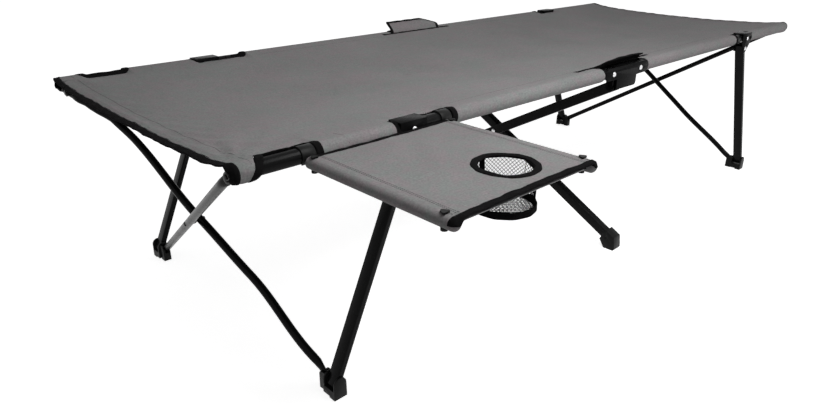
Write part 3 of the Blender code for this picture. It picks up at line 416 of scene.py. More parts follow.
class Bench:
    """Operators on one piece at a time."""

    @staticmethod
    def deselect() -> None:
        """Leaves nothing selected."""
        if bpy.context.mode != "OBJECT":
            bpy.ops.object.mode_set(mode="OBJECT")
        bpy.ops.object.select_all(action="DESELECT")

    @staticmethod
    def take(*pieces: bpy.types.Object) -> None:
        """Selects pieces only, with the first one active."""
        Bench.deselect()
        for piece in pieces:
            piece.select_set(True)
        bpy.context.view_layer.objects.active = pieces[0]

    @staticmethod
    def named(name: str) -> bpy.types.Object:
        """Names the active object and its data."""
        piece = bpy.context.active_object
        piece.name = name
        piece.data.name = name
        return piece

    @staticmethod
    @contextmanager
    def shaping(piece: bpy.types.Object) -> Iterator[None]:
        """Edit mode on one piece, with what is selected in it."""
        Bench.take(piece)
        bpy.ops.object.mode_set(mode="EDIT")
        yield
        bpy.ops.object.mode_set(mode="OBJECT")

    @staticmethod
    @contextmanager
    def editing(piece: bpy.types.Object) -> Iterator[None]:
        """Edit mode on the whole of one piece."""
        with Bench.shaping(piece):
            bpy.ops.mesh.select_all(action="SELECT")
            yield

    @staticmethod
    def choose(piece: bpy.types.Object, kind: str, chosen: Sequence[bool]) -> None:
        """Selects faces or edges.

        Args:
            piece: The piece, left in object mode.
            kind: FACE or EDGE.
            chosen: For each face or edge, whether it is selected.
        """
        with Bench.shaping(piece):
            bpy.ops.mesh.select_mode(type=kind)
            bpy.ops.mesh.select_all(action="DESELECT")
        parts = piece.data.polygons if kind == "FACE" else piece.data.edges
        for part, wanted in zip(parts, chosen):
            part.select = bool(wanted)

    @staticmethod
    def pick(piece: bpy.types.Object, test: Callable[[Vector, Vector], bool]) -> None:
        """Selects only the faces that pass a test of centre and normal."""
        Bench.choose(piece, "FACE", [test(f.center, f.normal) for f in piece.data.polygons])

    @staticmethod
    def cut(piece: bpy.types.Object) -> None:
        """Deletes the selected faces."""
        with Bench.shaping(piece):
            bpy.ops.mesh.delete(type="FACE")

    @staticmethod
    def modify(piece: bpy.types.Object, kind: str, **settings: object) -> None:
        """Adds a modifier with its settings and applies it."""
        Bench.take(piece)
        step = piece.modifiers.new(kind.lower(), kind)
        for key, value in settings.items():
            setattr(step, key, value)
        bpy.ops.object.modifier_apply(modifier=step.name)

    @staticmethod
    def settle(piece: bpy.types.Object) -> None:
        """Puts the piece's place into its mesh."""
        Bench.take(piece)
        bpy.ops.object.transform_apply(location=True, rotation=True, scale=True)

    @staticmethod
    def cylinder(
        name: str, sides: int, radius: float, depth: float, place: Sequence[float],
        turn: Sequence[float] = (0, math.pi / 2, 0),
    ) -> bpy.types.Object:
        """A cylinder primitive with its place in its mesh, along X unless it is turned."""
        Bench.deselect()
        bpy.ops.mesh.primitive_cylinder_add(
            vertices=sides, radius=radius, depth=depth, location=place, rotation=turn
        )
        piece = Bench.named(name)
        Bench.settle(piece)
        return piece

    @staticmethod
    def extrude(way: Sequence[float]) -> None:
        """Extrudes what is selected, in edit mode."""
        bpy.ops.mesh.extrude_region_move(TRANSFORM_OT_translate={"value": tuple(way)})

    @staticmethod
    def bevel(piece: bpy.types.Object, width: float, angle: float) -> None:
        """Breaks the edges that turn by more than an angle in degrees."""
        Bench.modify(
            piece, "BEVEL", width=width, segments=2, limit_method="ANGLE",
            angle_limit=math.radians(angle),
        )

    @staticmethod
    def clean(piece: bpy.types.Object, distance: float = 0.00001) -> None:
        """Merges doubles and turns all faces outward."""
        with Bench.editing(piece):
            bpy.ops.mesh.remove_doubles(threshold=distance)
            bpy.ops.mesh.normals_make_consistent(inside=False)

    @staticmethod
    def smooth(piece: bpy.types.Object, angle: float = 40.0) -> None:
        """Smooth shading under an angle in degrees."""
        Bench.take(piece)
        bpy.ops.object.shade_smooth_by_angle(angle=math.radians(angle))

    @staticmethod
    def join(name: str, pieces: Sequence[bpy.types.Object]) -> bpy.types.Object:
        """Makes several pieces one."""
        Bench.take(*pieces)
        if len(pieces) > 1:
            bpy.ops.object.join()
        return Bench.named(name)

    @staticmethod
    def coat(piece: bpy.types.Object, finish: Finish) -> None:
        """Gives a piece one material."""
        piece.data.materials.clear()
        piece.data.materials.append(finish.material())

    @staticmethod
    def dress(piece: bpy.types.Object, finish: Finish, body: str) -> bpy.types.Object:
        """Gives a piece its finish and the body that it rides on, and returns it."""
        Bench.coat(piece, finish)
        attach(piece, body)
        LOG.info("%s: %s on %s", piece.name, finish.label, body)
        return piece


def added(name: str, data: bpy.types.ID) -> bpy.types.Object:
    """A new object in the scene."""
    made = bpy.data.objects.new(name, data)
    bpy.context.scene.collection.objects.link(made)
    return made


def follow(piece: bpy.types.Object, points: Sequence[Sequence[float]]) -> None:
    """Bends a piece that lies along X so that it follows points."""
    curve = bpy.data.curves.new("guide", "CURVE")
    curve.dimensions = "3D"
    curve.twist_mode = "Z_UP"
    spline = curve.splines.new("POLY")
    spline.points.add(len(points) - 1)
    for point, place in zip(spline.points, points):
        point.co = (*place, 1)
    guide = added("guide", curve)
    Bench.modify(piece, "CURVE", object=guide, deform_axis="POS_X")
    bpy.data.objects.remove(guide, do_unlink=True)


def spots(piece: bpy.types.Object) -> np.ndarray:
    """Places of a piece's vertices, one row each."""
    flat = np.zeros(len(piece.data.vertices) * 3)
    piece.data.vertices.foreach_get("co", flat)
    return flat.reshape(-1, 3)


def ease(share: np.ndarray) -> np.ndarray:
    """A soft step from nought to one."""
    kept = np.clip(share, 0, 1)
    return kept * kept * (3 - 2 * kept)


def spaced(points: np.ndarray, step: float) -> np.ndarray:
    """Points at an even step along a line of points."""
    lengths = np.concatenate([[0], np.cumsum(np.linalg.norm(np.diff(points, axis=0), axis=1))])
    count = max(2, int(round(lengths[-1] / step)) + 1)
    places = np.linspace(0, lengths[-1], count)
    return np.stack([np.interp(places, lengths, points[:, i]) for i in range(points.shape[1])], 1)


@dataclass
class Loom:
    """Cloth, tape and stitches laid on one surface.

    Attributes:
        surface: Gives the places of pairs of measures.
        skin: Thickness of the cloth.
        step: Length of a tape's segments.
        lip: How far a tape's fold reaches past the edge.
        stitch: Length of a stitch.
        thread: Radius of the thread.
    """

    surface: Surface
    skin: float = 0.0012
    step: float = 0.004
    lip: float = 0.0015
    stitch: float = 0.0032
    thread: float = 0.00042

    def normal(self, x: np.ndarray, s: np.ndarray) -> np.ndarray:
        """The surface's outward normal."""
        reach = 0.0008
        along = self.surface(x + reach, s) - self.surface(x - reach, s)
        across = self.surface(x, s + reach) - self.surface(x, s - reach)
        out = np.cross(along, across)
        return out / np.maximum(np.linalg.norm(out, axis=1, keepdims=True), 1e-12)

    @staticmethod
    def grid(
        name: str, us: Sequence[float], vs: Sequence[float],
    ) -> tuple[bpy.types.Object, np.ndarray]:
        """A grid primitive with the given columns and rows, still flat.

        Args:
            name: The piece's name.
            us: Measures of the columns.
            vs: Measures of the rows.

        Returns:
            The piece, and the two measures of each of its vertices.
        """
        Bench.deselect()
        bpy.ops.mesh.primitive_grid_add(
            x_subdivisions=len(us) - 1, y_subdivisions=len(vs) - 1, size=1
        )
        piece = Bench.named(name)
        even = spots(piece)
        column = np.rint((even[:, 0] + 0.5) * (len(us) - 1)).astype(int)
        row = np.rint((even[:, 1] + 0.5) * (len(vs) - 1)).astype(int)
        return piece, np.stack([np.asarray(us)[column], np.asarray(vs)[row]], 1)

    @staticmethod
    def lay(piece: bpy.types.Object, places: np.ndarray, measures: np.ndarray) -> None:
        """Moves a piece's vertices to their places and writes its cloth map."""
        mesh = piece.data
        mesh.vertices.foreach_set("co", places.astype(np.float32).ravel())
        for old in list(mesh.uv_layers):
            mesh.uv_layers.remove(old)
        owners = np.zeros(len(mesh.loops), np.int32)
        mesh.loops.foreach_get("vertex_index", owners)
        chart = mesh.uv_layers.new(name="cloth")
        chart.data.foreach_set("uv", measures[owners].astype(np.float32).ravel())
        mesh.update()

    @staticmethod
    def lay_flat(piece: bpy.types.Object, measures: np.ndarray) -> None:
        """Lays a piece out by its measures, so that they outlast a cut."""
        Loom.lay(piece, np.column_stack([measures, np.zeros(len(measures))]), measures)

    def sheet(
        self,
        name: str,
        us: Sequence[float],
        vs: Sequence[float],
        drop: Callable[[np.ndarray, np.ndarray], np.ndarray] | None = None,
        move: Callable[[np.ndarray, np.ndarray], tuple[np.ndarray, np.ndarray]] | None = None,
    ) -> bpy.types.Object:
        """A piece of cloth with its thickness.

        Args:
            name: The piece's name.
            us: Measures of the columns.
            vs: Measures of the rows.
            drop: Says which cells are cut out, by their middles.
            move: Moves vertices within the cloth, as along a rounded edge.

        Returns:
            The piece.
        """
        piece, measures = self.grid(name, us, vs)
        mesh = piece.data
        if drop is not None:
            middles = np.array([measures[list(f.vertices)].mean(0) for f in mesh.polygons])
            self.lay_flat(piece, measures)
            Bench.choose(piece, "FACE", drop(middles[:, 0], middles[:, 1]))
            Bench.cut(piece)
            measures = spots(piece)[:, :2]
        x, s = measures[:, 0], measures[:, 1]
        if move is not None:
            x, s = move(x, s)
        self.lay(piece, self.surface(x, s), np.stack([x, s], 1))
        if mesh.vertices[0].normal.dot(Vector(self.normal(x[:1], s[:1])[0])) < 0:
            with Bench.editing(piece):
                bpy.ops.mesh.flip_normals()
        Bench.modify(piece, "SOLIDIFY", thickness=self.skin, offset=-1.0)
        Bench.smooth(piece, 60.0)
        return piece

    def tape(
        self,
        name: str,
        path: Sequence[tuple[float, float]],
        inward: float,
        width: float = 0.0125,
        closed: bool = False,
        ruffle: float = 0.0004,
        proud: float = 0.0009,
    ) -> bpy.types.Object:
        """Binding folded over an edge of the cloth.

        Args:
            name: The piece's name.
            path: The edge, in the surface's measures.
            inward: 1 or -1, the side of the path that the cloth is on.
            width: Width of the tape on each face.
            closed: Whether the path is a loop.
            ruffle: How far the tape's edge strays.
            proud: Thickness of the tape on each face.

        Returns:
            The tape.
        """
        line = spaced(np.asarray(path, float), self.step)
        count = len(line)
        ahead = np.gradient(line, axis=0)
        if closed:
            ahead[0] = ahead[-1] = line[1] - line[-2]
        ahead /= np.maximum(np.linalg.norm(ahead, axis=1, keepdims=True), 1e-12)
        side = np.stack([-ahead[:, 1], ahead[:, 0]], 1) * inward
        around = 12
        piece, measures = self.grid(name, list(range(count)), list(range(around + 1)))
        step = measures[:, 0].astype(int)
        angle = measures[:, 1] / around * 2 * math.pi
        far = step * self.step / 0.006
        wave = np.sin(far * 1.7 + 0.4) + np.sin(far * 0.61 + 1.3)
        if closed:
            wave *= np.sin(np.pi * step / (count - 1)) ** 0.25
        half = width / 2
        squared = np.sign(np.cos(angle)) * np.abs(np.cos(angle)) ** 0.5
        reach = half * squared * (1 + ruffle / half * wave) + half - self.lip
        lift = np.sign(np.sin(angle)) * np.abs(np.sin(angle)) ** 0.6
        height = -self.skin / 2 + lift * (self.skin / 2 + proud) + 0.0004 * np.cos(far * 0.9)
        spot = line[step] + side[step] * reach[:, None]
        places = self.surface(spot[:, 0], spot[:, 1])
        places += self.normal(spot[:, 0], spot[:, 1]) * height[:, None]
        self.lay(piece, places, np.stack([step * self.step, measures[:, 1] * width / 6], 1))
        Bench.clean(piece, 0.00002)
        if not closed:
            with Bench.editing(piece):
                bpy.ops.mesh.fill_holes(sides=0)
                bpy.ops.mesh.normals_make_consistent(inside=False)
        Bench.smooth(piece, 70.0)
        return piece

    def stitches(
        self, path: Sequence[tuple[float, float]], pitch: float = 0.0046, lift: float = 0.0001,
    ) -> bpy.types.Object:
        """A row of stitches, one modelled and the rest an array along the row."""
        length, radius = self.stitch, self.thread
        line = spaced(np.asarray(path, float), 0.008)
        places = self.surface(line[:, 0], line[:, 1])
        places += self.normal(line[:, 0], line[:, 1]) * lift
        run = float(np.linalg.norm(np.diff(places, axis=0), axis=1).sum())
        piece = Bench.cylinder("row", 6, radius, length * 0.6, (length / 2, 0, 0))
        for sign in (-1, 1):
            Bench.pick(piece, lambda centre, normal, sign=sign: normal.x * sign > 0.9)
            with Bench.shaping(piece):
                Bench.extrude((sign * length * 0.2, 0, -radius * 0.9))
                bpy.ops.transform.resize(value=(1, 0.55, 0.4))
        Bench.modify(
            piece, "ARRAY", fit_type="FIXED_COUNT", count=max(1, int(run / pitch)),
            use_relative_offset=False, use_constant_offset=True,
            constant_offset_displace=(pitch, 0, 0),
        )
        follow(piece, places)
        Bench.smooth(piece, 50.0)
        return piece


# The bed


@dataclass(frozen=True)
class Window:
    """A cut-out in a sleeve.

    Attributes:
        low: Where it starts, from the bed's middle.
        high: Where it ends.
        arch: How far its edge bows inward.
        slant: How much further out its outer end runs at the bottom.
    """

    low: float
    high: float
    arch: float
    slant: float = 0.0

    def span(self, out: np.ndarray) -> np.ndarray:
        """One inside the cut-out and nought outside, with soft ends."""
        return ease(np.minimum(out - self.low, self.high - out) / 0.014)


@dataclass(frozen=True)
class FlapForm:
    """The form of a flap over a hinge plate.

    Attributes:
        depth: From its seam to its free edge.
        low: Its height where it lies.
        rise: How much higher it stands where it is lifted.
        lean: How far it leans outward there.
    """

    depth: float
    low: float
    rise: float
    lean: float


def ends(left: float, right: float) -> dict[End, float]:
    """A field with a value for each end of the bed."""
    return field(default_factory=lambda: {End.LEFT: left, End.RIGHT: right})


def sides(near: float | FlapForm, far: float | FlapForm) -> dict[Side, float | FlapForm]:
    """A field with a value for each side of the bed."""
    return field(default_factory=lambda: {Side.NEAR: near, Side.FAR: far})


# Gathers at the bed's corners: place along it and across it, height, folds and reach.
GATHERS = (
    (-1.01, -0.372, 0.0030, 17.0, 0.17), (-1.01, 0.372, 0.0016, 12.0, 0.13),
    (1.01, -0.372, 0.0016, 12.0, 0.14), (1.01, 0.372, 0.0016, 12.0, 0.14),
)


@dataclass
class Bed:
    """The bed's canvas, its sleeves, flaps and bindings.

    Attributes:
        half_width: From the bed's middle to a rail's centre.
        rail_height: Height of the rails' centres.
        sleeve: Radius of a sleeve's outer face.
        wrap: How far the canvas turns round a rail, in radii.
        sag: How far the middle hangs below the rims.
        length: How far each end reaches from the middle.
        scoop: How far each end bows in between the rails.
        droop: How far each end hangs.
        recede: How far each end draws back on its rails.
        end_band: Where the last stretch of columns starts, with band_width its breadth.
        split: Where the halves meet the middle piece.
        hinge_gap: Where the sleeves start beside a hinge plate.
        hinge_edge: Where the canvas ends across the bed beside a hinge plate.
        window_edge: The same beside a cut-out, with window_corner its rounding.
        window_dip: How far the canvas is drawn down beside a cut-out.
        window_pull: How far in from the edge its rows are drawn together.
        slit: How far the slit beside a hinge plate runs, with slit_width its tape's width.
        hem_start: The angle round a rail where a sleeve's lower layer starts, up to hem_turn on.
        hem_tail: How far that layer runs on under the canvas.
        flap_turn: How far a flap turns over from its seam.
        fold_keep: Share of the bed's width that is kept when the cot is folded; not used.
        end_tape: Width of the ends' binding, with window_tape and flap_tape the others'.
        seam_pitch: From stitch to stitch of a dark seam.
        cross_seams: Places along the bed of the seams over the rails, from seam_start across.
        long_seam: Place across the bed of the seam beside a rail.
        shift: From the frame's middle to the bed's, across.
        edge: Arc length from the bed's middle to a sleeve's edge.
    """

    half_width: float = 0.36
    rail_height: float = 0.46
    sleeve: float = 0.0153
    wrap: float = 3.35
    sag: float = 0.025
    skin: float = 0.0012
    length: dict[End, float] = ends(1.0265, 1.0175)
    scoop: dict[End, float] = ends(0.0, 0.026)
    droop: dict[End, float] = ends(0.006, 0.007)
    recede: dict[End, float] = ends(0.0055, 0.0)
    end_band: float = 0.978
    band_width: float = 0.04
    split: float = 0.0605
    hinge_gap: float = 0.097
    hinge_edge: float = 0.3415
    leg_window: Window = Window(0.578, 0.722, 0.005)
    right_window: Window = Window(0.610, 0.717, 0.005)
    clip_window: Window = Window(0.870, 0.975, 0.002, 0.020)
    window_edge: float = 0.344
    window_corner: float = 0.0145
    window_dip: float = 0.0062
    window_pull: float = 0.0245
    slit: dict[Side, float] = sides(0.155, 0.135)
    slit_width: dict[Side, float] = sides(0.013, 0.0095)
    hem_start: float = math.radians(150)
    hem_turn: float = math.radians(142)
    hem_tail: float = 0.030
    flap: dict[Side, FlapForm] = sides(
        FlapForm(0.0350, 0.006, 0.0185, 0.027), FlapForm(0.0420, 0.012, 0.0195, 0.036)
    )
    flap_half: float = 0.097
    flap_corner: float = 0.016
    flap_turn: float = 1.45
    fold_keep: float = 0.498
    end_tape: float = 0.0140
    window_tape: float = 0.0138
    flap_tape: float = 0.0095
    seam_pitch: float = 0.0036
    cross_seams: tuple[float, float] = (0.990, 0.823)
    seam_start: float = 0.338
    seam_run: float = 0.066
    long_seam: float = 0.327
    shift: float = field(init=False)
    edge: float = field(init=False)
    loom: Loom = field(init=False)
    windows: dict[End, tuple[Window, ...]] = field(init=False)

    def __post_init__(self) -> None:
        """Finds where the bed stands, and its cut-outs."""
        near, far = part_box("rail_near_left"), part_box("rail_far_left")
        self.shift = (near[0].y + far[1].y) / 2
        self.edge = self.half_width + self.sleeve * self.wrap
        self.loom = Loom(self.surface, self.skin)
        self.windows = {
            End.LEFT: (self.leg_window, self.clip_window), End.RIGHT: (self.right_window,),
        }

    @staticmethod
    def by_end(x: np.ndarray, values: dict[End, float]) -> np.ndarray:
        """The value of the end that each place is nearer to."""
        return np.where(x < 0, values[End.LEFT], values[End.RIGHT])

    @staticmethod
    def slack(x: np.ndarray) -> np.ndarray:
        """How slack the cloth hangs at a place along the bed."""
        return 0.3 + 0.7 * np.clip((1.004 - np.abs(x)) / 0.3, 0.0, 1.0) ** 0.5

    def ripple(self, x: np.ndarray, s: np.ndarray) -> np.ndarray:
        """Height of the creases and gathers."""
        flat = ease((self.half_width - 0.006 - np.abs(s)) / 0.05)
        total = 0.0006 * np.sin(21 * x + 6 * np.sin(5 * s)) * np.cos(9 * s + 1.0)
        for cx, cs, height, folds, reach in GATHERS:
            far = np.hypot(x - cx, s - cs)
            turn = np.arctan2(np.abs(s - cs), np.abs(x - cx))
            fade = np.exp(-((far / reach) ** 2)) * far / (far + 0.03)
            total = total + height * np.sin(folds * turn + 9 * far) * fade
        middle = 1 - np.clip(np.abs(s) / self.half_width, 0, 1) ** 2
        long_fold = np.sin(2 * math.pi * (s + 0.10 * x) / 0.16)
        total = total + 0.0011 * long_fold * np.exp(-(((x - 0.5) / 0.36) ** 2)) * middle
        band = np.clip((-x - 0.90) / 0.06, 0, 1) * np.clip(0.25 - s, 0, 0.6) / 0.6
        total = total + 0.0019 * band * np.sin(2 * math.pi * (s * 0.8 + x * 1.3) / 0.052)
        calm = 1 - 0.8 * np.clip((np.abs(x) - 0.980) / 0.03, 0, 1)
        return total * flat * calm

    def dip(self, x: np.ndarray, s: np.ndarray) -> np.ndarray:
        """How far the cloth is drawn down beside its cut-outs."""
        across = np.clip((np.abs(s) - self.window_edge + 0.05) / 0.05, 0, 1) ** 2
        across = across * (np.abs(s) < self.window_edge + 0.008)
        along = np.zeros_like(x)
        for end in End:
            for window in self.windows[end]:
                along = along + window.span(x * end.value)
        return self.window_dip * along * across

    def gather(self, x: np.ndarray, s: np.ndarray) -> np.ndarray:
        """Share of the sleeve's radius, where it is gathered at the bed's ends."""
        out = np.abs(x)
        tip = self.by_end(x, self.length) - self.by_end(x, self.recede)
        drawn = np.clip((out - 0.960) / 0.03, 0, 1) * np.clip((tip - out - 0.008) / 0.010, 0.15, 1)
        turn = (np.abs(s) - self.half_width) / self.sleeve
        crimp = 0.11 * drawn * np.sin(1.9 * turn + 34 * out) ** 2
        closing = np.clip((out - tip + 0.0088) / 0.0088, 0, 1) ** 2
        return 1 + crimp - 0.55 * closing

    def surface(self, x: np.ndarray, s: np.ndarray) -> np.ndarray:
        """Places of the canvas's upper face.

        Args:
            x: Measures along the bed.
            s: Arc lengths across it from its middle.

        Returns:
            Places in the frame, one row each.
        """
        sag = self.sag * self.slack(x)
        lean = np.arctan(2 * sag / self.half_width)
        tangent = self.half_width - self.sleeve * np.sin(lean)
        rim = self.rail_height + self.sleeve * np.cos(lean)
        across = np.clip(np.abs(s), 0, self.half_width) / self.half_width
        y_flat = across * tangent
        z_flat = rim - sag * (1 - across**2)
        past = np.clip((np.abs(s) - self.half_width) / self.sleeve, 0, None)
        angle = past - lean
        y_round = self.half_width + self.sleeve * np.sin(angle)
        z_round = self.rail_height + self.sleeve * np.cos(angle)
        over = past > 0
        drawn = 1 + (self.gather(x, s) - 1) * np.clip(past / 0.5, 0, 1)
        y_round = self.half_width + (y_round - self.half_width) * drawn
        z_round = self.rail_height + (z_round - self.rail_height) * drawn
        y = np.where(over, y_round, y_flat) * np.sign(s)
        z = np.where(over, z_round, z_flat) + self.ripple(x, s) - self.dip(x, s)
        outer = np.clip((np.abs(x) - 0.966) / 0.046, 0, 1.3) ** 1.4
        z = z - self.by_end(x, self.droop) * outer * (1 - across**8)
        return np.stack([x, y + self.shift, z], 1)

    def end_line(self, end: End, s: np.ndarray) -> np.ndarray:
        """How far out the cloth's end is, by the place across the bed."""
        across = np.clip(np.abs(s) / self.half_width, 0, 1)
        wavy = 0.0007 * np.sin(s * 33) + 0.0004 * np.sin(s * 61 + 1)
        recede = self.recede[end] * np.clip((np.abs(s) - 0.352) / 0.02, 0, 1)
        return self.length[end] - self.scoop[end] * (1 - across**4) - recede + wavy

    def window_line(self, x: np.ndarray, window: Window) -> np.ndarray:
        """Inner edge of a cut-out, with its arch and its rounded corners."""
        low, high = window.low, window.high
        arch = window.arch * np.sin(np.pi * np.clip((x - low) / (high - low), 0, 1))
        near = np.clip(np.minimum(x - low, high - x), 0, self.window_corner)
        corner = self.window_corner - np.sqrt(
            np.clip(self.window_corner**2 - (self.window_corner - near) ** 2, 0, None)
        )
        return self.window_edge - arch + corner

    def slanted(self, out: np.ndarray, s: np.ndarray, end: End) -> np.ndarray:
        """How much further out the cloth lies where a cut-out's outer end slants."""
        total = np.zeros_like(out)
        for window in self.windows[end]:
            down = np.clip((np.abs(s) - self.half_width + 0.008) / 0.055, 0, 1)
            left = np.clip((self.length[end] - out) / (self.length[end] - window.high), 0, 1)
            total = total + window.slant * down * left * (out > window.high - 1e-6)
        return total

    def columns(self, end: End, low: float, high: float) -> list[float]:
        """Columns between two places, closer at the cut-outs' corners."""
        marks = {low, high, self.hinge_gap, self.end_band}
        for window in self.windows[end]:
            for step in (0, 0.0008, 0.0025, 0.006, 0.010, 0.0145):
                marks |= {window.low + step, window.high - step}
        inner = sorted(m for m in marks if low <= m <= high)
        places = []
        for a, b in zip(inner, inner[1:]):
            count = max(1, math.ceil((b - a) / 0.012))
            places += [a + (b - a) * i / count for i in range(count)]
        return [*places, high]

    def rows(self, edge: float) -> list[float]:
        """Rows from one edge to the other, closer over the rails."""
        flat = list(np.linspace(0, self.window_edge - 0.02, 24))
        flat += [0.332, 0.338, self.hinge_edge, self.window_edge, 0.349, 0.354, self.half_width]
        flat += list(self.half_width + np.linspace(0, edge - self.half_width, 16)[1:])
        half = sorted({round(v, 6) for v in flat if v <= edge})
        return [-v for v in reversed(half[1:])] + half

    def half_panel(self, end: End) -> bpy.types.Object:
        """The canvas on one half of the bed, cut out at the brackets, clips and hinges."""
        sign = end.value
        columns = self.columns(end, self.split, self.end_band)
        outer = [self.end_band + self.band_width * i / 14 for i in range(1, 15)]
        us = [sign * u for u in columns + outer]

        def drop(x: np.ndarray, s: np.ndarray) -> np.ndarray:
            """The cells beside the hinge plates and in the cut-outs."""
            out, across = np.abs(x), np.abs(s)
            gone = (out < self.hinge_gap) & (across > self.hinge_edge)
            for window in self.windows[end]:
                gone |= (out > window.low) & (out < window.high) & (across > self.window_edge)
            return gone

        def move(x: np.ndarray, s: np.ndarray) -> tuple[np.ndarray, np.ndarray]:
            """Draws the cells to the end's line and the cut-outs' edges."""
            out, across = np.abs(x), np.abs(s)
            share = np.clip((out - self.end_band) / self.band_width, 0, 1)
            stretched = self.end_band + (self.end_line(end, s) - self.end_band) * share
            out = np.where(share > 0, stretched, out)
            for window in self.windows[end]:
                within = (out > window.low + 1e-6) & (out < window.high - 1e-6)
                limit = self.window_line(out, window)
                rim = within & (np.abs(across - self.window_edge) < 1e-4)
                across = np.where(rim, limit, across)
                start = self.window_edge - self.window_pull
                close = within & (across > start) & (across < self.window_edge - 0.001)
                pull = (across - start) / self.window_pull
                lowered = across + np.minimum(limit - self.window_edge, 0) * pull
                across = np.where(close, lowered, across)
            out = out + self.slanted(out, s, end)
            return out * sign, across * np.sign(s)

        return self.loom.sheet(f"bed_canvas_{end.tag}", us, self.rows(self.edge), drop, move)

    def bind_half(self, end: End) -> list[bpy.types.Object]:
        """Bindings of one half's end and cut-outs."""
        sign = end.value
        reach = self.edge - 0.0005
        ss = np.linspace(-reach, reach, 220)
        line = [(sign * x, s) for x, s in zip(self.end_line(end, ss), ss)]
        tapes = [self.loom.tape(
            "binding", line, sign, width=self.end_tape, ruffle=0.0003, proud=0.0012,
        )]
        for side in Side:
            span = sorted((sign * (self.split + 0.0005), sign * self.slit[side]))
            tapes.append(self.slit_tape(side, *span))
            for window in self.windows[end]:
                xs = np.linspace(window.low, window.high, 61)
                top = [(sign * x, side.value * s) for x, s in zip(xs, self.window_line(xs, window))]
                start = self.window_edge + self.window_corner
                climb = np.linspace(self.edge - 0.001, start, 9)[:-1]
                rise = [(sign * window.low, side.value * s) for s in climb]
                outer = np.full_like(climb, window.high) + 1e-9
                outer = outer + self.slanted(outer, climb, end)
                fall = [(sign * x, side.value * s) for x, s in zip(outer, climb)][::-1]
                tapes.append(self.loom.tape(
                    "binding", rise + top + fall, sign * side.value, width=self.window_tape,
                    ruffle=0.0003,
                ))
        return tapes

    def slit_tape(self, side: Side, low: float, high: float) -> bpy.types.Object:
        """Binding on the slit beside a hinge, from one place along the bed to another."""
        xs = np.linspace(low, high, 20)
        line = [(x, side.value * (self.hinge_edge + 0.0005)) for x in xs]
        return self.loom.tape("binding", line, -side.value, width=self.slit_width[side])

    def half_seams(self, end: End) -> tuple[list[bpy.types.Object], list[bpy.types.Object]]:
        """Stitch rows of one half: pale ones beside the bindings and dark seams."""
        sign = end.value
        ss = np.linspace(-self.half_width + 0.01, self.half_width - 0.01, 60)
        edge = self.end_line(end, ss)
        beside = [(sign * (x - 0.0105), s) for x, s in zip(edge, ss)]
        hem = [(sign * (x - 0.038), s) for x, s in zip(edge, ss) if abs(s) < 0.335]
        light = [self.loom.stitches(beside, lift=0.0011)]
        dark = [self.loom.stitches(hem, self.seam_pitch, 0.0)]
        shares = np.linspace(0, 1, 12)
        for side in Side:
            over = side.value * (self.seam_start + self.seam_run * shares)
            for x in self.cross_seams:
                line = list(zip(sign * (x - 0.006 * shares**2), over))
                dark.append(self.loom.stitches(line, self.seam_pitch, 0.0))
            seam = side.value * self.long_seam
            length = [(sign * x, seam) for x in np.linspace(0.150, 0.560, 40)]
            dark.append(self.loom.stitches(length, 0.004, -0.0001))
        return light, dark

    def carry(self, piece: bpy.types.Object, finish: Finish, body: str) -> bpy.types.Object:
        """Dresses a piece of the bed's cloth and gives it a mesh of its own."""
        Bench.dress(piece, finish, body)
        rail = -self.half_width - self.sleeve + self.shift
        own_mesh(piece)
        return piece

    def build_half(self, end: End) -> None:
        """Builds one half's canvas, bindings and stitches."""
        name = end.tag
        body = f"rail_near_{name}"
        canvas = self.carry(self.half_panel(end), CANVAS, body)
        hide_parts(f"bed_cloth_{name}")
        tape = self.carry(Bench.join(f"bed_binding_{name}", self.bind_half(end)), TAPE, body)
        light, dark = self.half_seams(end)
        pale = self.carry(Bench.join(f"bed_stitches_{name}", light), SEWING, body)
        seams = self.carry(Bench.join(f"bed_seams_{name}", dark), DARK_SEWING, body)
        width, length = 2 * self.edge, self.length[end] - self.split
        cut = sum(w.high - w.low for w in self.windows[end]) + self.hinge_gap - self.split
        area = width * length - 2 * cut * (self.edge - self.window_edge)

    def build_middle(self) -> None:
        """Builds the canvas between the hinges, and the bindings of both slits."""
        half = self.split
        us = list(np.linspace(-half, half, 11))
        rows = [r for r in self.rows(self.edge) if abs(r) <= self.hinge_edge + 1e-6]
        middle = self.loom.sheet("bed_canvas_middle", us, rows)
        self.carry(middle, CANVAS, "near_hinge")
        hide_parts("bed_cloth_middle")
        slits = [self.slit_tape(side, -half, half) for side in Side]
        tape = self.carry(Bench.join("bed_binding_middle", slits), TAPE, "near_hinge")

    def sleeve_runs(self, end: End) -> list[tuple[float, float]]:
        """The stretches of a rail that its sleeve covers."""
        starts, stops = [self.hinge_gap], []
        for window in self.windows[end]:
            stops.append(window.low)
            starts.append(window.high + window.slant)
        return list(zip(starts, [*stops, self.length[end] - 0.012]))

    def build_sleeves(self) -> None:
        """Builds the lower layer of each sleeve, from the outer side of the rail to the canvas."""
        inner = self.sleeve - self.skin - 0.0002
        tail, tail_turn = self.hem_tail, 0.3
        for side, end, name in corners():

            def lower(x: np.ndarray, s: np.ndarray, side: Side = side) -> np.ndarray:
                """Under the rail, and then inward below the canvas."""
                angle = self.hem_start + np.clip(s, 0, self.hem_turn)
                past = np.clip(s - self.hem_turn, 0, None) / tail_turn
                sag = self.sag * self.slack(x) * (1 - (1 - tail / self.half_width) ** 2)
                top = self.sleeve - self.skin - 0.0008 - sag
                y = -np.cos(angle) * inner * (1 - past) - tail * past
                z = np.sin(angle) * inner * (1 - past) + top * past
                across = side.value * (self.half_width + y) + self.shift
                return np.stack([x, across, self.rail_height + z], 1)

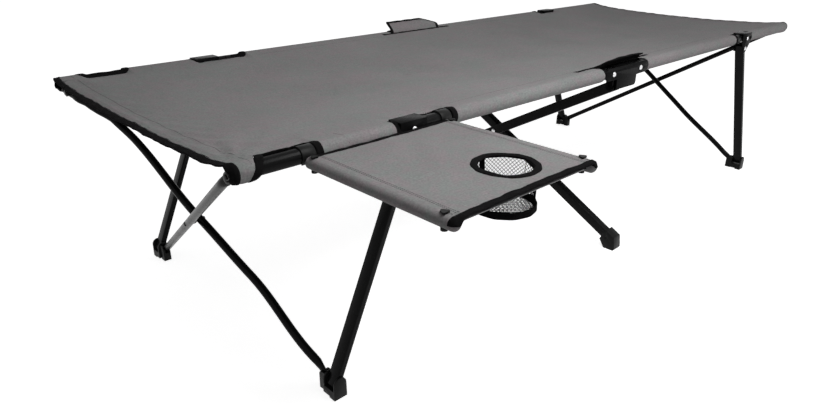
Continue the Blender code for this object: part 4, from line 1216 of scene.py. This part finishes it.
            loom = Loom(lower, 0.0010)
            vs = list(np.linspace(0, self.hem_turn, 14))
            vs += [self.hem_turn + tail_turn * share for share in (0.33, 0.66, 1.0)]
            parts = []
            for low, high in self.sleeve_runs(end):
                places = np.linspace(low, high, max(3, int((high - low) / 0.02)))
                parts.append(loom.sheet("sleeve", [end.value * u for u in places], vs))
            hem = Bench.join(f"bed_sleeve_{name}", parts)
            Bench.dress(hem, CANVAS, f"rail_{name}")
            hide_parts(f"bed_hem_{name}")

    def build_flap(self, side: Side) -> None:
        """Builds the canvas flap that stands over a hinge plate, bound on three edges."""
        half, corner, form = self.flap_half, self.flap_corner, self.flap[side]
        reach, sign, tag = form.depth, side.value, side.tag

        def arch(x: np.ndarray, s: np.ndarray) -> np.ndarray:
            """The flap's upper face, from its seam to its free edge."""
            turn = self.flap_turn * np.clip(s / reach, -0.1, 1.1)
            if side is Side.NEAR:
                lift = ease((x + 0.110) / 0.085) * (1 - 0.3 * ease((x - 0.03) / 0.07))
            else:
                lift = 1 - 0.6 * ease((x - 0.045) / 0.05)
            y = self.hinge_edge + 0.001 + form.lean * lift * (1 - np.cos(turn)) / 0.88
            z = self.rail_height + 0.0085 + (form.low + form.rise * lift) * np.sin(turn)
            return np.stack([x, sign * y + self.shift, z], 1)

        def rounded(x: np.ndarray) -> np.ndarray:
            """Depth of the flap along its length."""
            near = np.clip(half - np.abs(x), 0, corner)
            return reach - corner + np.sqrt(np.clip(corner**2 - (corner - near) ** 2, 0, None))

        def move(x: np.ndarray, s: np.ndarray) -> tuple[np.ndarray, np.ndarray]:
            """Rounds the corners."""
            return x, s / reach * rounded(x)

        loom = Loom(arch, 0.0012)
        below = math.copysign(0.0014, loom.normal(np.zeros(1), np.full(1, reach))[0, 2])

        def under(x: np.ndarray, s: np.ndarray) -> np.ndarray:
            """The face of the black sheet under the flap."""
            return arch(x, s) - below * loom.normal(x, s)

        closer = {way * (half - inset) for way in (-1, 1) for inset in (0.002, 0.006)}
        us = sorted({*np.linspace(-half, half, 21).tolist(), *closer})
        vs = list(np.linspace(0, reach, 9))
        flap = loom.sheet(f"flap_{tag}", us, vs, None, move)
        # A black sheet under the flap makes its underside dark.
        dark_underside = Loom(under, 0.0006).sheet(f"flap_lining_{tag}", us, vs, None, move)
        xs = np.linspace(-half, half, 60)
        rim = [(x, float(r)) for x, r in zip(xs, rounded(xs))]
        line = [(-half, 0.0), (-half, 0.012), *rim, (half, 0.012), (half, 0.0)]
        tape = loom.tape(f"flap_binding_{tag}", line, -1, width=self.flap_tape)
        keep_at = sign * (self.hinge_edge - 0.002) + self.shift
        for piece, finish in ((flap, CANVAS), (dark_underside, TAPE), (tape, TAPE)):
            Bench.dress(piece, finish, f"{tag}_hinge")
            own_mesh(piece)
        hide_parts(f"bed_flap_{tag}")

    def build(self) -> None:
        """Builds all the bed's cloth."""
        for end in End:
            self.build_half(end)
        self.build_middle()
        self.build_sleeves()
        for side in Side:
            self.build_flap(side)


# The side table


@dataclass
class SideTable:
    """The table's cloth top, its bindings, stitches and cup pocket.

    Attributes:
        left: Centre of the left arm along the bed, with right the other's.
        start: Where the hems start, out from the rail.
        inner_edge: Where the cloth between the arms starts.
        arm_drop: How far the arms lie below the rail.
        hem: Radius of a hem's outer face, with wrap how far it turns, in radii.
        rim: Where a hem starts to close, in from its outer end.
        cup_radius: Radius of the pocket, with cup_depth its depth.
        hole: Radius of the hole over it.
        cup_rim: How far the pocket's top lies under the cloth.
        outer_tape: Width of the outer edge's binding, with inner_tape and hole_tape the others'.
        side_cells: Cells of the pocket's net, with side_strand its strands' thickness.
        floor_cells: The same at its bottom, with floor_strand.
        band_height: Height of the binding at the pocket's bottom.
        strip_width: Width of the strip up its side, at the angle strip_turn.
    """

    bed: Bed
    left: float = -0.895
    right: float = -0.605
    start: float = 0.0158
    inner_edge: float = 0.0172
    arm_drop: float = 0.008
    hem: float = 0.0095
    wrap: float = 5.3
    skin: float = 0.0010
    rim: float = 0.0085
    cup_radius: float = 0.0465
    hole: float = 0.0415
    cup_depth: float = 0.061
    cup_rim: float = 0.0035
    outer_tape: float = 0.0120
    inner_tape: float = 0.0090
    hole_tape: float = 0.0115
    side_cells: tuple[int, int] = (48, 10)
    side_strand: float = 0.0014
    floor_cells: tuple[int, int] = (11, 11)
    floor_strand: float = 0.0013
    band_height: float = 0.0095
    strip_width: float = 0.009
    strip_turn: float = math.radians(84)
    body: str = "side_table"

    def __post_init__(self) -> None:
        """Works out the cloth's measures."""
        self.middle = (self.left + self.right) / 2
        self.half = (self.right - self.left) / 2
        self.edge = self.half + self.hem * self.wrap
        self.arm_z = self.bed.rail_height - self.arm_drop
        self.rail_y = -self.bed.half_width + self.bed.shift
        self.outer_edge = self.rail_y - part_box("table_cloth")[0].y
        low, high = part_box("cup_pocket")
        self.cup_x = (low.x + high.x) / 2
        self.cup_out = self.rail_y - (low.y + high.y) / 2
        self.loom = Loom(self.surface, self.skin)

    def surface(self, out: np.ndarray, s: np.ndarray) -> np.ndarray:
        """Places of the table cloth's upper face.

        Args:
            out: Distances out from the rail.
            s: Arc lengths across the table from its middle.

        Returns:
            Places in the frame.
        """
        across = np.clip(np.abs(s), 0, self.half)
        past = np.clip((np.abs(s) - self.half) / self.hem, 0, None)
        closing = np.clip((out - self.outer_edge + self.rim) / self.rim, 0, 1)
        drawn = 0.12 + 0.88 * np.sqrt(1 - closing**2)
        drawn = 1 - (1 - drawn) * ease((np.abs(s) - self.half + 0.010) / 0.010)
        x = np.where(past > 0, self.half + self.hem * drawn * np.sin(past), across) * np.sign(s)
        z = np.where(past > 0, self.hem * np.cos(past), self.hem) * drawn
        share = across / self.half
        middle = 1 - share**2
        outer = np.clip((out - 0.22) / 0.1, 0, 1) ** 2
        z = z - 0.0022 * middle * (0.4 + outer)
        z = z + 0.0004 * np.sin(out * 60 + 4 * np.sin(s * 25)) * middle
        return np.stack([self.middle + x, self.rail_y - out, self.arm_z + z], 1)

    def outer_line(self, s: np.ndarray) -> np.ndarray:
        """Outer edge of the cloth, bowed in between the arms."""
        across = np.clip(np.abs(s) / self.half, 0, 1)
        return self.outer_edge - 0.005 * (1 - across**2) + 0.0004 * np.sin(s * 70)

    def build_top(self) -> None:
        """Builds the cloth top with its hole, bindings and stitches."""
        us = [self.start, *np.linspace(self.inner_edge, self.outer_edge - self.rim, 44)]
        us += [self.outer_edge - back for back in (0.0065, 0.0045, 0.0028, 0.0014, 0.0005, 0.0)]
        half_rows = [*np.linspace(0, self.half - 0.012, 36), self.half - 0.006, self.half]
        half_rows += list(self.half + np.linspace(0, self.hem * self.wrap, 18)[1:])
        vs = [-v for v in reversed(half_rows[1:])] + half_rows
        cup_s = self.cup_x - self.middle
        radius = self.hole
        inner_s = self.half - self.hem * 0.4

        def drop(out: np.ndarray, s: np.ndarray) -> np.ndarray:
            """The cells in the hole and beside the rail."""
            hole = np.hypot(out - self.cup_out, s - cup_s) < radius
            return hole | ((out < self.inner_edge) & (np.abs(s) < inner_s))

        def move(out: np.ndarray, s: np.ndarray) -> tuple[np.ndarray, np.ndarray]:
            """Draws the cells to the hole's edge and the bowed outer edge."""
            far = np.hypot(out - self.cup_out, s - cup_s)
            rim = (far > radius - 0.008) & (far < radius + 0.0042)
            scale = np.where(rim, radius / np.maximum(far, 1e-6), 1.0)
            new_out = self.cup_out + (out - self.cup_out) * scale
            bow = (self.outer_line(s) - self.outer_edge) * ease((out - 0.25) / 0.05)
            new_out = np.where(np.abs(s) < self.half, new_out + bow, new_out)
            return new_out, cup_s + (s - cup_s) * scale

        top = self.loom.sheet("table_canvas", us, vs, drop, move)
        Bench.dress(top, CANVAS, self.body)
        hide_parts("table_cloth")
        ss = np.linspace(-self.half - 1.5 * self.hem, self.half + 1.5 * self.hem, 100)
        outer = [(float(o), s) for o, s in zip(self.outer_line(ss), ss)]
        inner = [(self.inner_edge, s) for s in np.linspace(-inner_s + 0.002, inner_s - 0.002, 60)]
        ring = [
            (self.cup_out + radius * math.sin(t), cup_s + radius * math.cos(t))
            for t in np.linspace(0, 2 * math.pi, 61)
        ]
        tapes = [
            self.loom.tape(
                "binding", outer, 1, width=self.outer_tape, ruffle=0.0003, proud=0.0014,
            ),
            self.loom.tape("binding", inner, -1, width=self.inner_tape, ruffle=0.0003),
            self.loom.tape("binding", ring, 1, width=self.hole_tape, closed=True, proud=0.0014),
        ]
        tape = Bench.dress(Bench.join("table_binding", tapes), TAPE, self.body)
        rows = [
            self.loom.stitches([(0.022, s), (0.302, s)], self.bed.seam_pitch, 0.0)
            for s in self.both(0.011, 0.0145)
        ]
        seams = Bench.dress(Bench.join("table_seams", rows), DARK_SEWING, self.body)
        tacks = [
            self.loom.stitches([(0.298, s), (0.305, s)], 0.005, 0.0013)
            for s in self.both(0.014, 0.008, 0.002)
        ]
        tack = Bench.dress(Bench.join("table_tacks", tacks), SEWING, self.body)
        width, length = 2 * self.edge, self.outer_edge - self.start
        area = width * length - math.pi * radius**2 - 2 * inner_s * (self.inner_edge - self.start)

    def both(self, *insets: float) -> list[float]:
        """Measures on both sides of the table, so far inside its arms."""
        return [sign * (self.half - inset) for sign in (-1, 1) for inset in insets]

    def bag(self, theta: np.ndarray, down: np.ndarray) -> np.ndarray:
        """Places on the cup pocket's side, by the turn round it and the depth."""
        share = down / self.cup_depth
        radius = self.cup_radius + 0.0016 - 0.0032 * share - 0.0012 * np.sin(np.pi * share)
        radius = radius + 0.0006 * np.sin(9 * theta) * np.sin(np.pi * share)
        x = self.cup_x + radius * np.cos(theta)
        y = self.rail_y - self.cup_out + radius * np.sin(theta)
        return np.stack([x, y, self.arm_z + self.hem - self.cup_rim - down], 1)

    @staticmethod
    def net(surface: Surface, size: tuple[float, float], cells: tuple[int, int]) -> bpy.types.Object:
        """Diamond netting, still without thickness: a poked grid that loses its own edges.

        Args:
            surface: What it is laid on.
            size: Its two measures.
            cells: How many cells it has along each.

        Returns:
            The net.
        """
        us, vs = (list(np.linspace(0, full, count + 1)) for full, count in zip(size, cells))
        piece, measures = Loom.grid("net", us, vs)
        Loom.lay_flat(piece, measures)
        with Bench.editing(piece):
            bpy.ops.mesh.select_mode(type="FACE")
            bpy.ops.mesh.poke()

        def inner(edge: bpy.types.MeshEdge) -> bool:
            """Whether an edge is one of the grid's own, inside it."""
            a, b = (piece.data.vertices[i].co for i in edge.vertices)
            straight = any(abs(a[i] - b[i]) < size[i] / cells[i] * 0.1 for i in (0, 1))
            return straight and all(1e-6 < (a[i] + b[i]) / 2 < size[i] - 1e-6 for i in (0, 1))

        Bench.choose(piece, "EDGE", [inner(edge) for edge in piece.data.edges])
        with Bench.shaping(piece):
            bpy.ops.mesh.dissolve_edges(use_verts=False)
        knots = spots(piece)
        Loom.lay(piece, surface(knots[:, 0], knots[:, 1]), knots[:, :2])
        return piece

    @staticmethod
    def strands(net: bpy.types.Object, thickness: float) -> None:
        """Gives a net its strands."""
        Bench.modify(
            net, "WIREFRAME", thickness=thickness, use_even_offset=False, use_boundary=True
        )

    def build_cup(self) -> None:
        """Builds the cup pocket: net side and bottom, bound at the bottom, with a seam strip."""
        side = self.net(self.bag, (2 * math.pi, self.cup_depth), self.side_cells)
        Bench.clean(side, 0.00002)
        self.strands(side, self.side_strand)
        floor_radius = self.cup_radius - 0.0022
        centre = Vector((self.cup_x, self.rail_y - self.cup_out))

        def base(u: np.ndarray, v: np.ndarray) -> np.ndarray:
            """A round floor that hangs a little in its middle."""
            x, s = u - floor_radius, v - floor_radius
            far = np.hypot(x, s)
            scale = np.where(far > floor_radius, floor_radius / np.maximum(far, 1e-9), 1.0)
            sink = 0.003 * (1 - np.clip(far / floor_radius, 0, 1) ** 2)
            z = np.full_like(x, self.arm_z + self.hem - self.cup_rim - self.cup_depth) - sink
            return np.stack([centre.x + x * scale, centre.y + s * scale, z], 1)

        def outside(place: Vector, normal: Vector) -> bool:
            """Whether a face lies beyond the floor's rim."""
            return (place.xy - centre).length > floor_radius * 0.9995

        bottom = self.net(base, (2 * floor_radius, 2 * floor_radius), self.floor_cells)
        Bench.pick(bottom, outside)
        Bench.cut(bottom)
        Bench.clean(bottom, 0.0004)
        self.strands(bottom, self.floor_strand)
        net = Bench.join("cup_pocket_net", [side, bottom])
        Bench.smooth(net, 60.0)
        Bench.dress(net, NETTING, self.body)
        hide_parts("cup_pocket")
        Bench.dress(Bench.join("cup_pocket_binding", self.bands()), TAPE, self.body)

    def proud(self, theta: np.ndarray, down: np.ndarray, by: np.ndarray) -> np.ndarray:
        """Places that stand out from the pocket's side."""
        way = np.stack([np.cos(theta), np.sin(theta), np.zeros_like(theta)], 1)
        return self.bag(theta, down) + way * by[:, None]

    def bands(self) -> list[bpy.types.Object]:
        """The pocket's bottom binding, the band under the table's hole, and its seam strip."""

        def hoop(flare: float) -> Surface:
            """The pocket's side, moved out and rippled."""
            return lambda t, d: self.proud(t, d, flare + 0.0005 * np.sin(11 * t + 3 * d))

        around = list(np.linspace(0, 2 * math.pi, 73))
        low = (self.cup_depth - self.band_height, self.cup_depth + 0.0012)
        strips = []
        for (start, stop), flare in ((low, 0.0012), ((-0.001, 0.003), 0.0010)):
            down = list(np.linspace(start, stop, 6))
            strips.append(Loom(hoop(flare), 0.0022).sheet("strip", around, down))
            Bench.clean(strips[-1], 0.00002)
        seam = Loom(lambda t, d: self.proud(t, d, np.full_like(t, 0.0009)), 0.0018)
        half = self.strip_width / self.cup_radius / 2
        turns = list(np.linspace(self.strip_turn - half, self.strip_turn + half, 5))
        return [*strips, seam.sheet("strip", turns, list(np.linspace(0, self.cup_depth, 14)))]

    def build(self) -> None:
        """Builds the table's cloth and pocket."""
        self.build_top()
        self.build_cup()


# The frame

# The flattened ends of an end brace: distance from the end, half thickness and half height.
FLAT_FOOT = (
    (0.0, 0.0036, 0.0045), (0.0025, 0.004, 0.0070), (0.008, 0.004, 0.0081),
    (0.016, 0.004, 0.0084), (0.024, 0.0052, 0.0086), (0.034, 0.0074, 0.0082),
)
FLAT_TIP = (
    (0.031, 0.0062, 0.0084), (0.022, 0.0036, 0.0092), (0.014, 0.0025, 0.0092),
    (0.005, 0.0025, 0.0080), (0.001, 0.0022, 0.0050),
)

# Rivet heads: radius and height.
TIP_RIVET = (0.0058, 0.0019)
CROSS_RIVET = (0.0045, 0.0022)
CROSS_SPACER = (0.0046, 0.0096)
BRACKET_RIVET = (0.0056, 0.0026)

# Solids that get a bevelled copy, by the start of their names: finish and width of the bevel.
REFINED: dict[str, tuple[Finish, float]] = {
    "hinge_plate": (MATT_ENAMEL, 0.0005), "leg_bracket": (MATT_ENAMEL, 0.0007),
    "leg_near": (ENAMEL, 0.0), "leg_far": (ENAMEL, 0.0), "centre_brace": (ENAMEL, 0.0),
    "rail_end": (ENAMEL, 0.0005), "foot_": (PLASTIC, 0.0009), "centre_foot": (PLASTIC, 0.0014),
    "table_clip": (PLASTIC, 0.0005), "table_spreader": (ENAMEL, 0.0), "table_arm": (ENAMEL, 0.0),
}
# Solids that stay as they are and get a finish only.
RECOATED: dict[str, Finish] = {
    "hinge_rivet": BRIGHT, "leg_pin": BRIGHT, "centre_cross_pin": BRIGHT, "table_screw": PLASTIC,
}


@dataclass
class Frame:
    """Steel tubes, plates, rivets and mouldings.

    Attributes:
        foot_x: Lower end of an end brace along the bed, at the height foot_z.
        brace_foot_inset: How far that end lies inside the rail's line.
        tip_x: Upper end of an end brace, tip_inset inside the rail's line, tip_drop below it.
        tip_half: How far from an end brace's line its tip's rivet starts.
        cross_half: The same of the rivets where a pair crosses.
        joggle: How far the inner brace of a pair is set inboard where they cross.
        joggle_high: The same near its upper end.
        rail_end: Outer end of a rail tube, with rail_wall its wall and rail_hollow its depth.
        hinge_pivot: Where a rail's hinge rivet is; the tube runs rail_tail past it.
        leg_top: Where the legs' brackets are, with head_sink how deep their rivets sit.
    """

    bed: Bed
    foot_x: float = 0.862
    foot_z: float = 0.03
    brace_radius: float = 0.008
    brace_foot_inset: float = 0.027
    tip_x: float = 1.0055
    tip_inset: float = 0.022
    tip_drop: float = 0.013
    tip_half: float = 0.0025
    cross_half: float = 0.0072
    joggle: float = 0.025
    joggle_high: float = 0.0415
    rail_radius: float = 0.0125
    rail_wall: float = 0.0013
    rail_hollow: float = 0.015
    rail_end: float = 1.008
    hinge_pivot: float = 0.059
    rail_tail: float = 0.016
    rail_bevel: float = 0.0004
    leg_top: float = 0.685
    head_sink: float = 0.0016

    def refine(self, node: str, finish: Finish, bevel: float, body: str) -> None:
        """A copy of a CAD solid with its edges broken, in place of the solid."""
        piece = added(f"{node}_finished", FRAME["nodes"][node].data.copy())
        with Bench.editing(piece):
            bpy.ops.mesh.remove_doubles(threshold=0.00001)
            bpy.ops.mesh.dissolve_limited(angle_limit=math.radians(1.0))
        if bevel:
            Bench.bevel(piece, bevel, 50)
        Bench.smooth(piece, 35.0)
        Bench.dress(piece, finish, body)
        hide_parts(node)

    def drawn(
        self, name: str, stations: Sequence[tuple[float, float, float]],
        points: Sequence[Sequence[float]], sides: int = 24,
    ) -> bpy.types.Object:
        """A tube extruded ring by ring along X and bent to a line.

        Args:
            name: The piece's name.
            stations: Distance along the line, half thickness and half height of each ring.
            points: The line.
            sides: Vertices of a ring.

        Returns:
            The tube.
        """
        Bench.deselect()
        bpy.ops.mesh.primitive_circle_add(
            vertices=sides, radius=1, fill_type="NGON", rotation=(0, math.pi / 2, 0)
        )
        piece = Bench.named(name)
        Bench.settle(piece)
        first = stations[0]
        with Bench.editing(piece):
            bpy.ops.transform.resize(value=(1, first[1], first[2]))
            bpy.ops.transform.translate(value=(first[0], 0, 0))
            for before, after in zip(stations, stations[1:]):
                Bench.extrude((after[0] - before[0], 0, 0))
                bpy.ops.transform.resize(
                    value=(1, after[1] / before[1], after[2] / before[2]),
                    center_override=(after[0], 0, 0),
                )
        Bench.clean(piece)
        follow(piece, points)
        Bench.smooth(piece, 50.0)
        return piece

    def joggled(self, share: float) -> float:
        """How far inboard the inner tube of a pair lies, by its share of the way up."""
        middle, high = self.joggle, self.joggle_high
        knots = (
            (0.0, 0.0), (0.05, 0.0), (0.30, 0.85 * middle), (0.5, middle), (0.80, high),
            (0.87, 0.92 * high), (0.94, 0.5 * high), (0.98, 0.007), (1.0, 0.0),
        )
        for (a, before), (b, after) in zip(knots, knots[1:]):
            if share <= b:
                u = (share - a) / (b - a)
                return before + (after - before) * u * u * (3 - 2 * u)
        return 0.0

    def brace_line(self, end: End, side: Side, step_in: bool, shares: np.ndarray) -> np.ndarray:
        """Points along an end brace from its foot to the opposite rail's end."""
        inset = self.bed.half_width - self.brace_foot_inset
        foot = np.array([end.value * self.foot_x, side.value * inset, self.foot_z])
        tip = np.array([
            end.value * self.tip_x, -side.value * (self.bed.half_width - self.tip_inset),
            self.bed.rail_height - self.tip_drop,
        ])
        slant = np.clip((shares - 0.03) / 0.94, 0, 1)
        places = foot + (tip - foot) * shares[:, None]
        places[:, 0] = foot[0] + (tip[0] - foot[0]) * slant
        if step_in:
            places[:, 0] -= end.value * np.array([self.joggled(float(t)) for t in shares])
        places[:, 1] += self.bed.shift
        return places

    def build_end_braces(self) -> None:
        """Builds the crossed round tubes at both ends, flattened at their rivets."""
        radius = self.brace_radius
        for side, end, corner in sorted(corners(), key=lambda place: place[1].value):
            name = f"end_brace_{corner}"
            line = self.brace_line(end, side, side is Side.NEAR, np.linspace(-0.011, 1.013, 120))
            run = float(np.linalg.norm(np.diff(line, axis=0), axis=1).sum())
            stations = [*FLAT_FOOT, (0.044, radius, radius)]
            stations += [(float(d), radius, radius) for d in np.linspace(0.06, run - 0.055, 44)]
            stations.append((run - 0.040, radius, radius))
            stations += [(run - back, thick, high) for back, thick, high in FLAT_TIP]
            tube = self.drawn(f"{name}_tube", stations, line.tolist())
            Bench.dress(tube, ENAMEL, name)
            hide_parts(name)
            self.brace_rivets(end, side, name, line)

    def brace_rivets(self, end: End, side: Side, body: str, line: np.ndarray) -> None:
        """The rivet heads of an end brace: one at its tip, one where it crosses."""
        out = end.value
        tip = line[-3]
        heads = [self.dome(tip - (out * self.tip_half, 0, 0), (-out, 0, 0), *TIP_RIVET)]
        cross = line[np.argmin(np.abs(line[:, 1] - self.bed.shift))]
        way = out if side is Side.FAR else -out
        heads.append(self.dome(cross + (way * self.cross_half, 0, 0), (way, 0, 0), *CROSS_RIVET))
        if side is Side.FAR:
            start = cross - (out * self.cross_half, 0, 0)
            heads.append(self.dome(start, (-out, 0, 0), *CROSS_SPACER))
        Bench.dress(Bench.join(f"{body}_rivets", heads), ENAMEL, body)

    def dome(
        self, centre: Sequence[float], facing: Sequence[float], radius: float, height: float,
    ) -> bpy.types.Object:
        """A domed rivet head on a face.

        Args:
            centre: Middle of its flat side.
            facing: The way it faces.
            radius: Its radius.
            height: Its height.

        Returns:
            The head.
        """
        way = Vector(facing).normalized()
        drum = height * 0.45
        place, turn = Vector(centre) + way * drum / 2, way.to_track_quat("Z", "Y").to_euler()
        head = Bench.cylinder("head", 20, radius, drum, place, turn)
        Bench.pick(head, lambda centre, normal: normal.dot(way) > 0.9)
        middle = Vector(centre) + way * drum
        with Bench.shaping(head):
            for rise, shrink in ((0.28, 0.86), (0.19, 0.74), (0.08, 0.5)):
                step = way * height * rise
                Bench.extrude(step)
                middle += step
                bpy.ops.transform.resize(value=(shrink,) * 3, center_override=tuple(middle))
        Bench.smooth(head, 50.0)
        return head

    def build_rails(self) -> None:
        """Builds round rail tubes with hollow ends."""
        start, stop = self.hinge_pivot - self.rail_tail, self.rail_end
        for side, end, name in corners():
            y = side.value * self.bed.half_width + self.bed.shift
            middle = (end.value * (start + stop) / 2, y, self.bed.rail_height)
            tube = Bench.cylinder(f"rail_{name}_tube", 40, self.rail_radius, stop - start, middle)
            for way in (-1, 1):
                Bench.pick(tube, lambda centre, normal, way=way: normal.x * way > 0.9)
                with Bench.shaping(tube):
                    bpy.ops.mesh.inset(thickness=self.rail_wall)
                    Bench.extrude((-way * self.rail_hollow, 0, 0))
            Bench.bevel(tube, self.rail_bevel, 60)
            Bench.smooth(tube, 45.0)
            Bench.dress(tube, ENAMEL, f"rail_{name}")
            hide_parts(f"rail_{name}")

    def rivet_heads(self) -> None:
        """Bright heads on the leg brackets, at the height of the rail."""
        for _, end, name in corners():
            low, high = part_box(f"leg_bracket_{name}")
            x, z = end.value * self.leg_top, self.bed.rail_height
            faces = ((low.y + self.head_sink, -1), (high.y - self.head_sink, 1))
            heads = [self.dome((x, y, z), (0, way, 0), *BRACKET_RIVET) for y, way in faces]
            Bench.dress(Bench.join(f"bracket_rivet_{name}", heads), BRIGHT, f"rail_{name}")

    def build(self) -> None:
        """Dresses every steel and plastic piece."""
        self.build_rails()
        self.build_end_braces()
        self.rivet_heads()
        for body, nodes in FRAME["record"]["behaviour"]["bodies"].items():
            for node in nodes:
                for start, (finish, bevel) in REFINED.items():
                    if node.startswith(start):
                        self.refine(node, finish, bevel, body)
                for start, finish in RECOATED.items():
                    if node.startswith(start):
                        Bench.coat(FRAME["nodes"][node], finish)
                        LOG.info("%s: %s", node, finish.label)


# The studio


@dataclass
class Studio:
    """Floor, lamps, world and camera.

    Attributes:
        shift: How far the bed stands from the frame's middle.
        lens_px: Focal length in pixels of a picture that is frame_px wide.
        turn: The camera's tilt, roll and swing in degrees.
        place: Its place, beside the bed's middle.
        world_light: Strength of the world where it isn't seen.
        floor_glow: What the floor adds to its own light where it is seen.
        floor_grey: The floor's colour.
    """

    shift: float
    lens_px: float = 654.4
    turn: tuple[float, float, float] = (66.473, 0.263, -43.421)
    place: tuple[float, float, float] = (-1.4091, -1.1386, 0.7798)
    frame_px: int = 826
    world_light: float = 0.26
    floor_glow: float = 0.84
    floor_grey: float = 0.80

    def floor(self) -> None:
        """A pale floor that is white to the camera except where a shadow lies."""
        Bench.deselect()
        bpy.ops.mesh.primitive_plane_add(size=40, location=(0, 0, -0.0004))
        floor = Bench.named("floor")
        Bench.settle(floor)
        sheet = Shading(bpy.data.materials.new("floor_pale"))
        paths = self.seen(sheet)
        white = {"Color": (1, 1, 1), "Strength": self.floor_glow}
        glow = sheet.node("ShaderNodeEmission", {}, white)
        lit = sheet.node("ShaderNodeBsdfDiffuse", {}, {"Color": (self.floor_grey,) * 3})
        both = sheet.node("ShaderNodeAddShader", {}, {0: lit, 1: glow})
        out = sheet.node("ShaderNodeMixShader", {}, {0: paths, 1: lit, 2: both})
        sheet.plug(sheet.tree.nodes["Material Output"].inputs["Surface"], out)
        floor.data.materials.append(sheet.owner)

    @staticmethod
    def seen(sheet: Shading) -> Socket:
        """One for rays from the camera, off gloss or through clear things."""
        camera = sheet.node("ShaderNodeLightPath", output="Is Camera Ray")
        gloss = sheet.node("ShaderNodeLightPath", output="Is Glossy Ray")
        clear = sheet.node("ShaderNodeLightPath", output="Is Transmission Ray")
        return (camera + gloss + clear).kept()

    def world(self) -> None:
        """A plain pale world, white to the camera."""
        world = bpy.data.worlds.new("plain_world")
        bpy.context.scene.world = world
        sheet = Shading(world)
        back = sheet.tree.nodes["Background"].inputs
        sheet.plug(back["Color"], (1, 1, 1))
        sheet.plug(back["Strength"], self.world_light + self.seen(sheet) * (1 - self.world_light))

    @staticmethod
    def lamp(
        name: str, place: Sequence[float], aim: Sequence[float], size: float, power: float,
    ) -> None:
        """A soft square lamp."""
        data = bpy.data.lights.new(name, "AREA")
        data.size = size
        data.energy = power
        lamp = added(name, data)
        lamp.location = place
        lamp.rotation_euler = (Vector(aim) - Vector(place)).to_track_quat("-Z", "Y").to_euler()

    def camera(self) -> None:
        """The camera at the photograph's viewing angle."""
        data = bpy.data.cameras.new("view")
        data.sensor_width = 36
        data.lens = self.lens_px * data.sensor_width / self.frame_px
        camera = added("view", data)
        tilt, roll, swing = (math.radians(a) for a in self.turn)
        turn = Matrix.Rotation(swing, 4, "Z") @ Matrix.Rotation(tilt, 4, "X")
        turn = turn @ Matrix.Rotation(roll, 4, "Z")
        x, y, z = self.place
        camera.matrix_world = Matrix.Translation((x, y + self.shift, z)) @ turn
        bpy.context.scene.camera = camera

    def build(self) -> None:
        """Sets the stage."""
        self.floor()
        self.world()
        self.lamp("key", (-0.35, -0.85, 1.5), (-0.3, -0.3, 0.4), 0.8, 19)
        self.lamp("top", (0.2, 0.4, 3.6), (0, 0, 0.4), 3.0, 7)
        self.lamp("side", (1.5, -2.1, 0.75), (0.5, -0.2, 0.45), 0.9, 15)
        self.camera()
        bpy.context.scene.view_settings.view_transform = "Standard"


def main() -> None:
    """Builds the dressed cot and its studio."""
    logging.basicConfig(level=logging.INFO, format="%(message)s")
    bed = Bed()
    bed.build()
    SideTable(bed).build()
    Frame(bed).build()
    Studio(bed.shift).build()
    Bench.deselect()


if __name__ == "__main__":
    main()
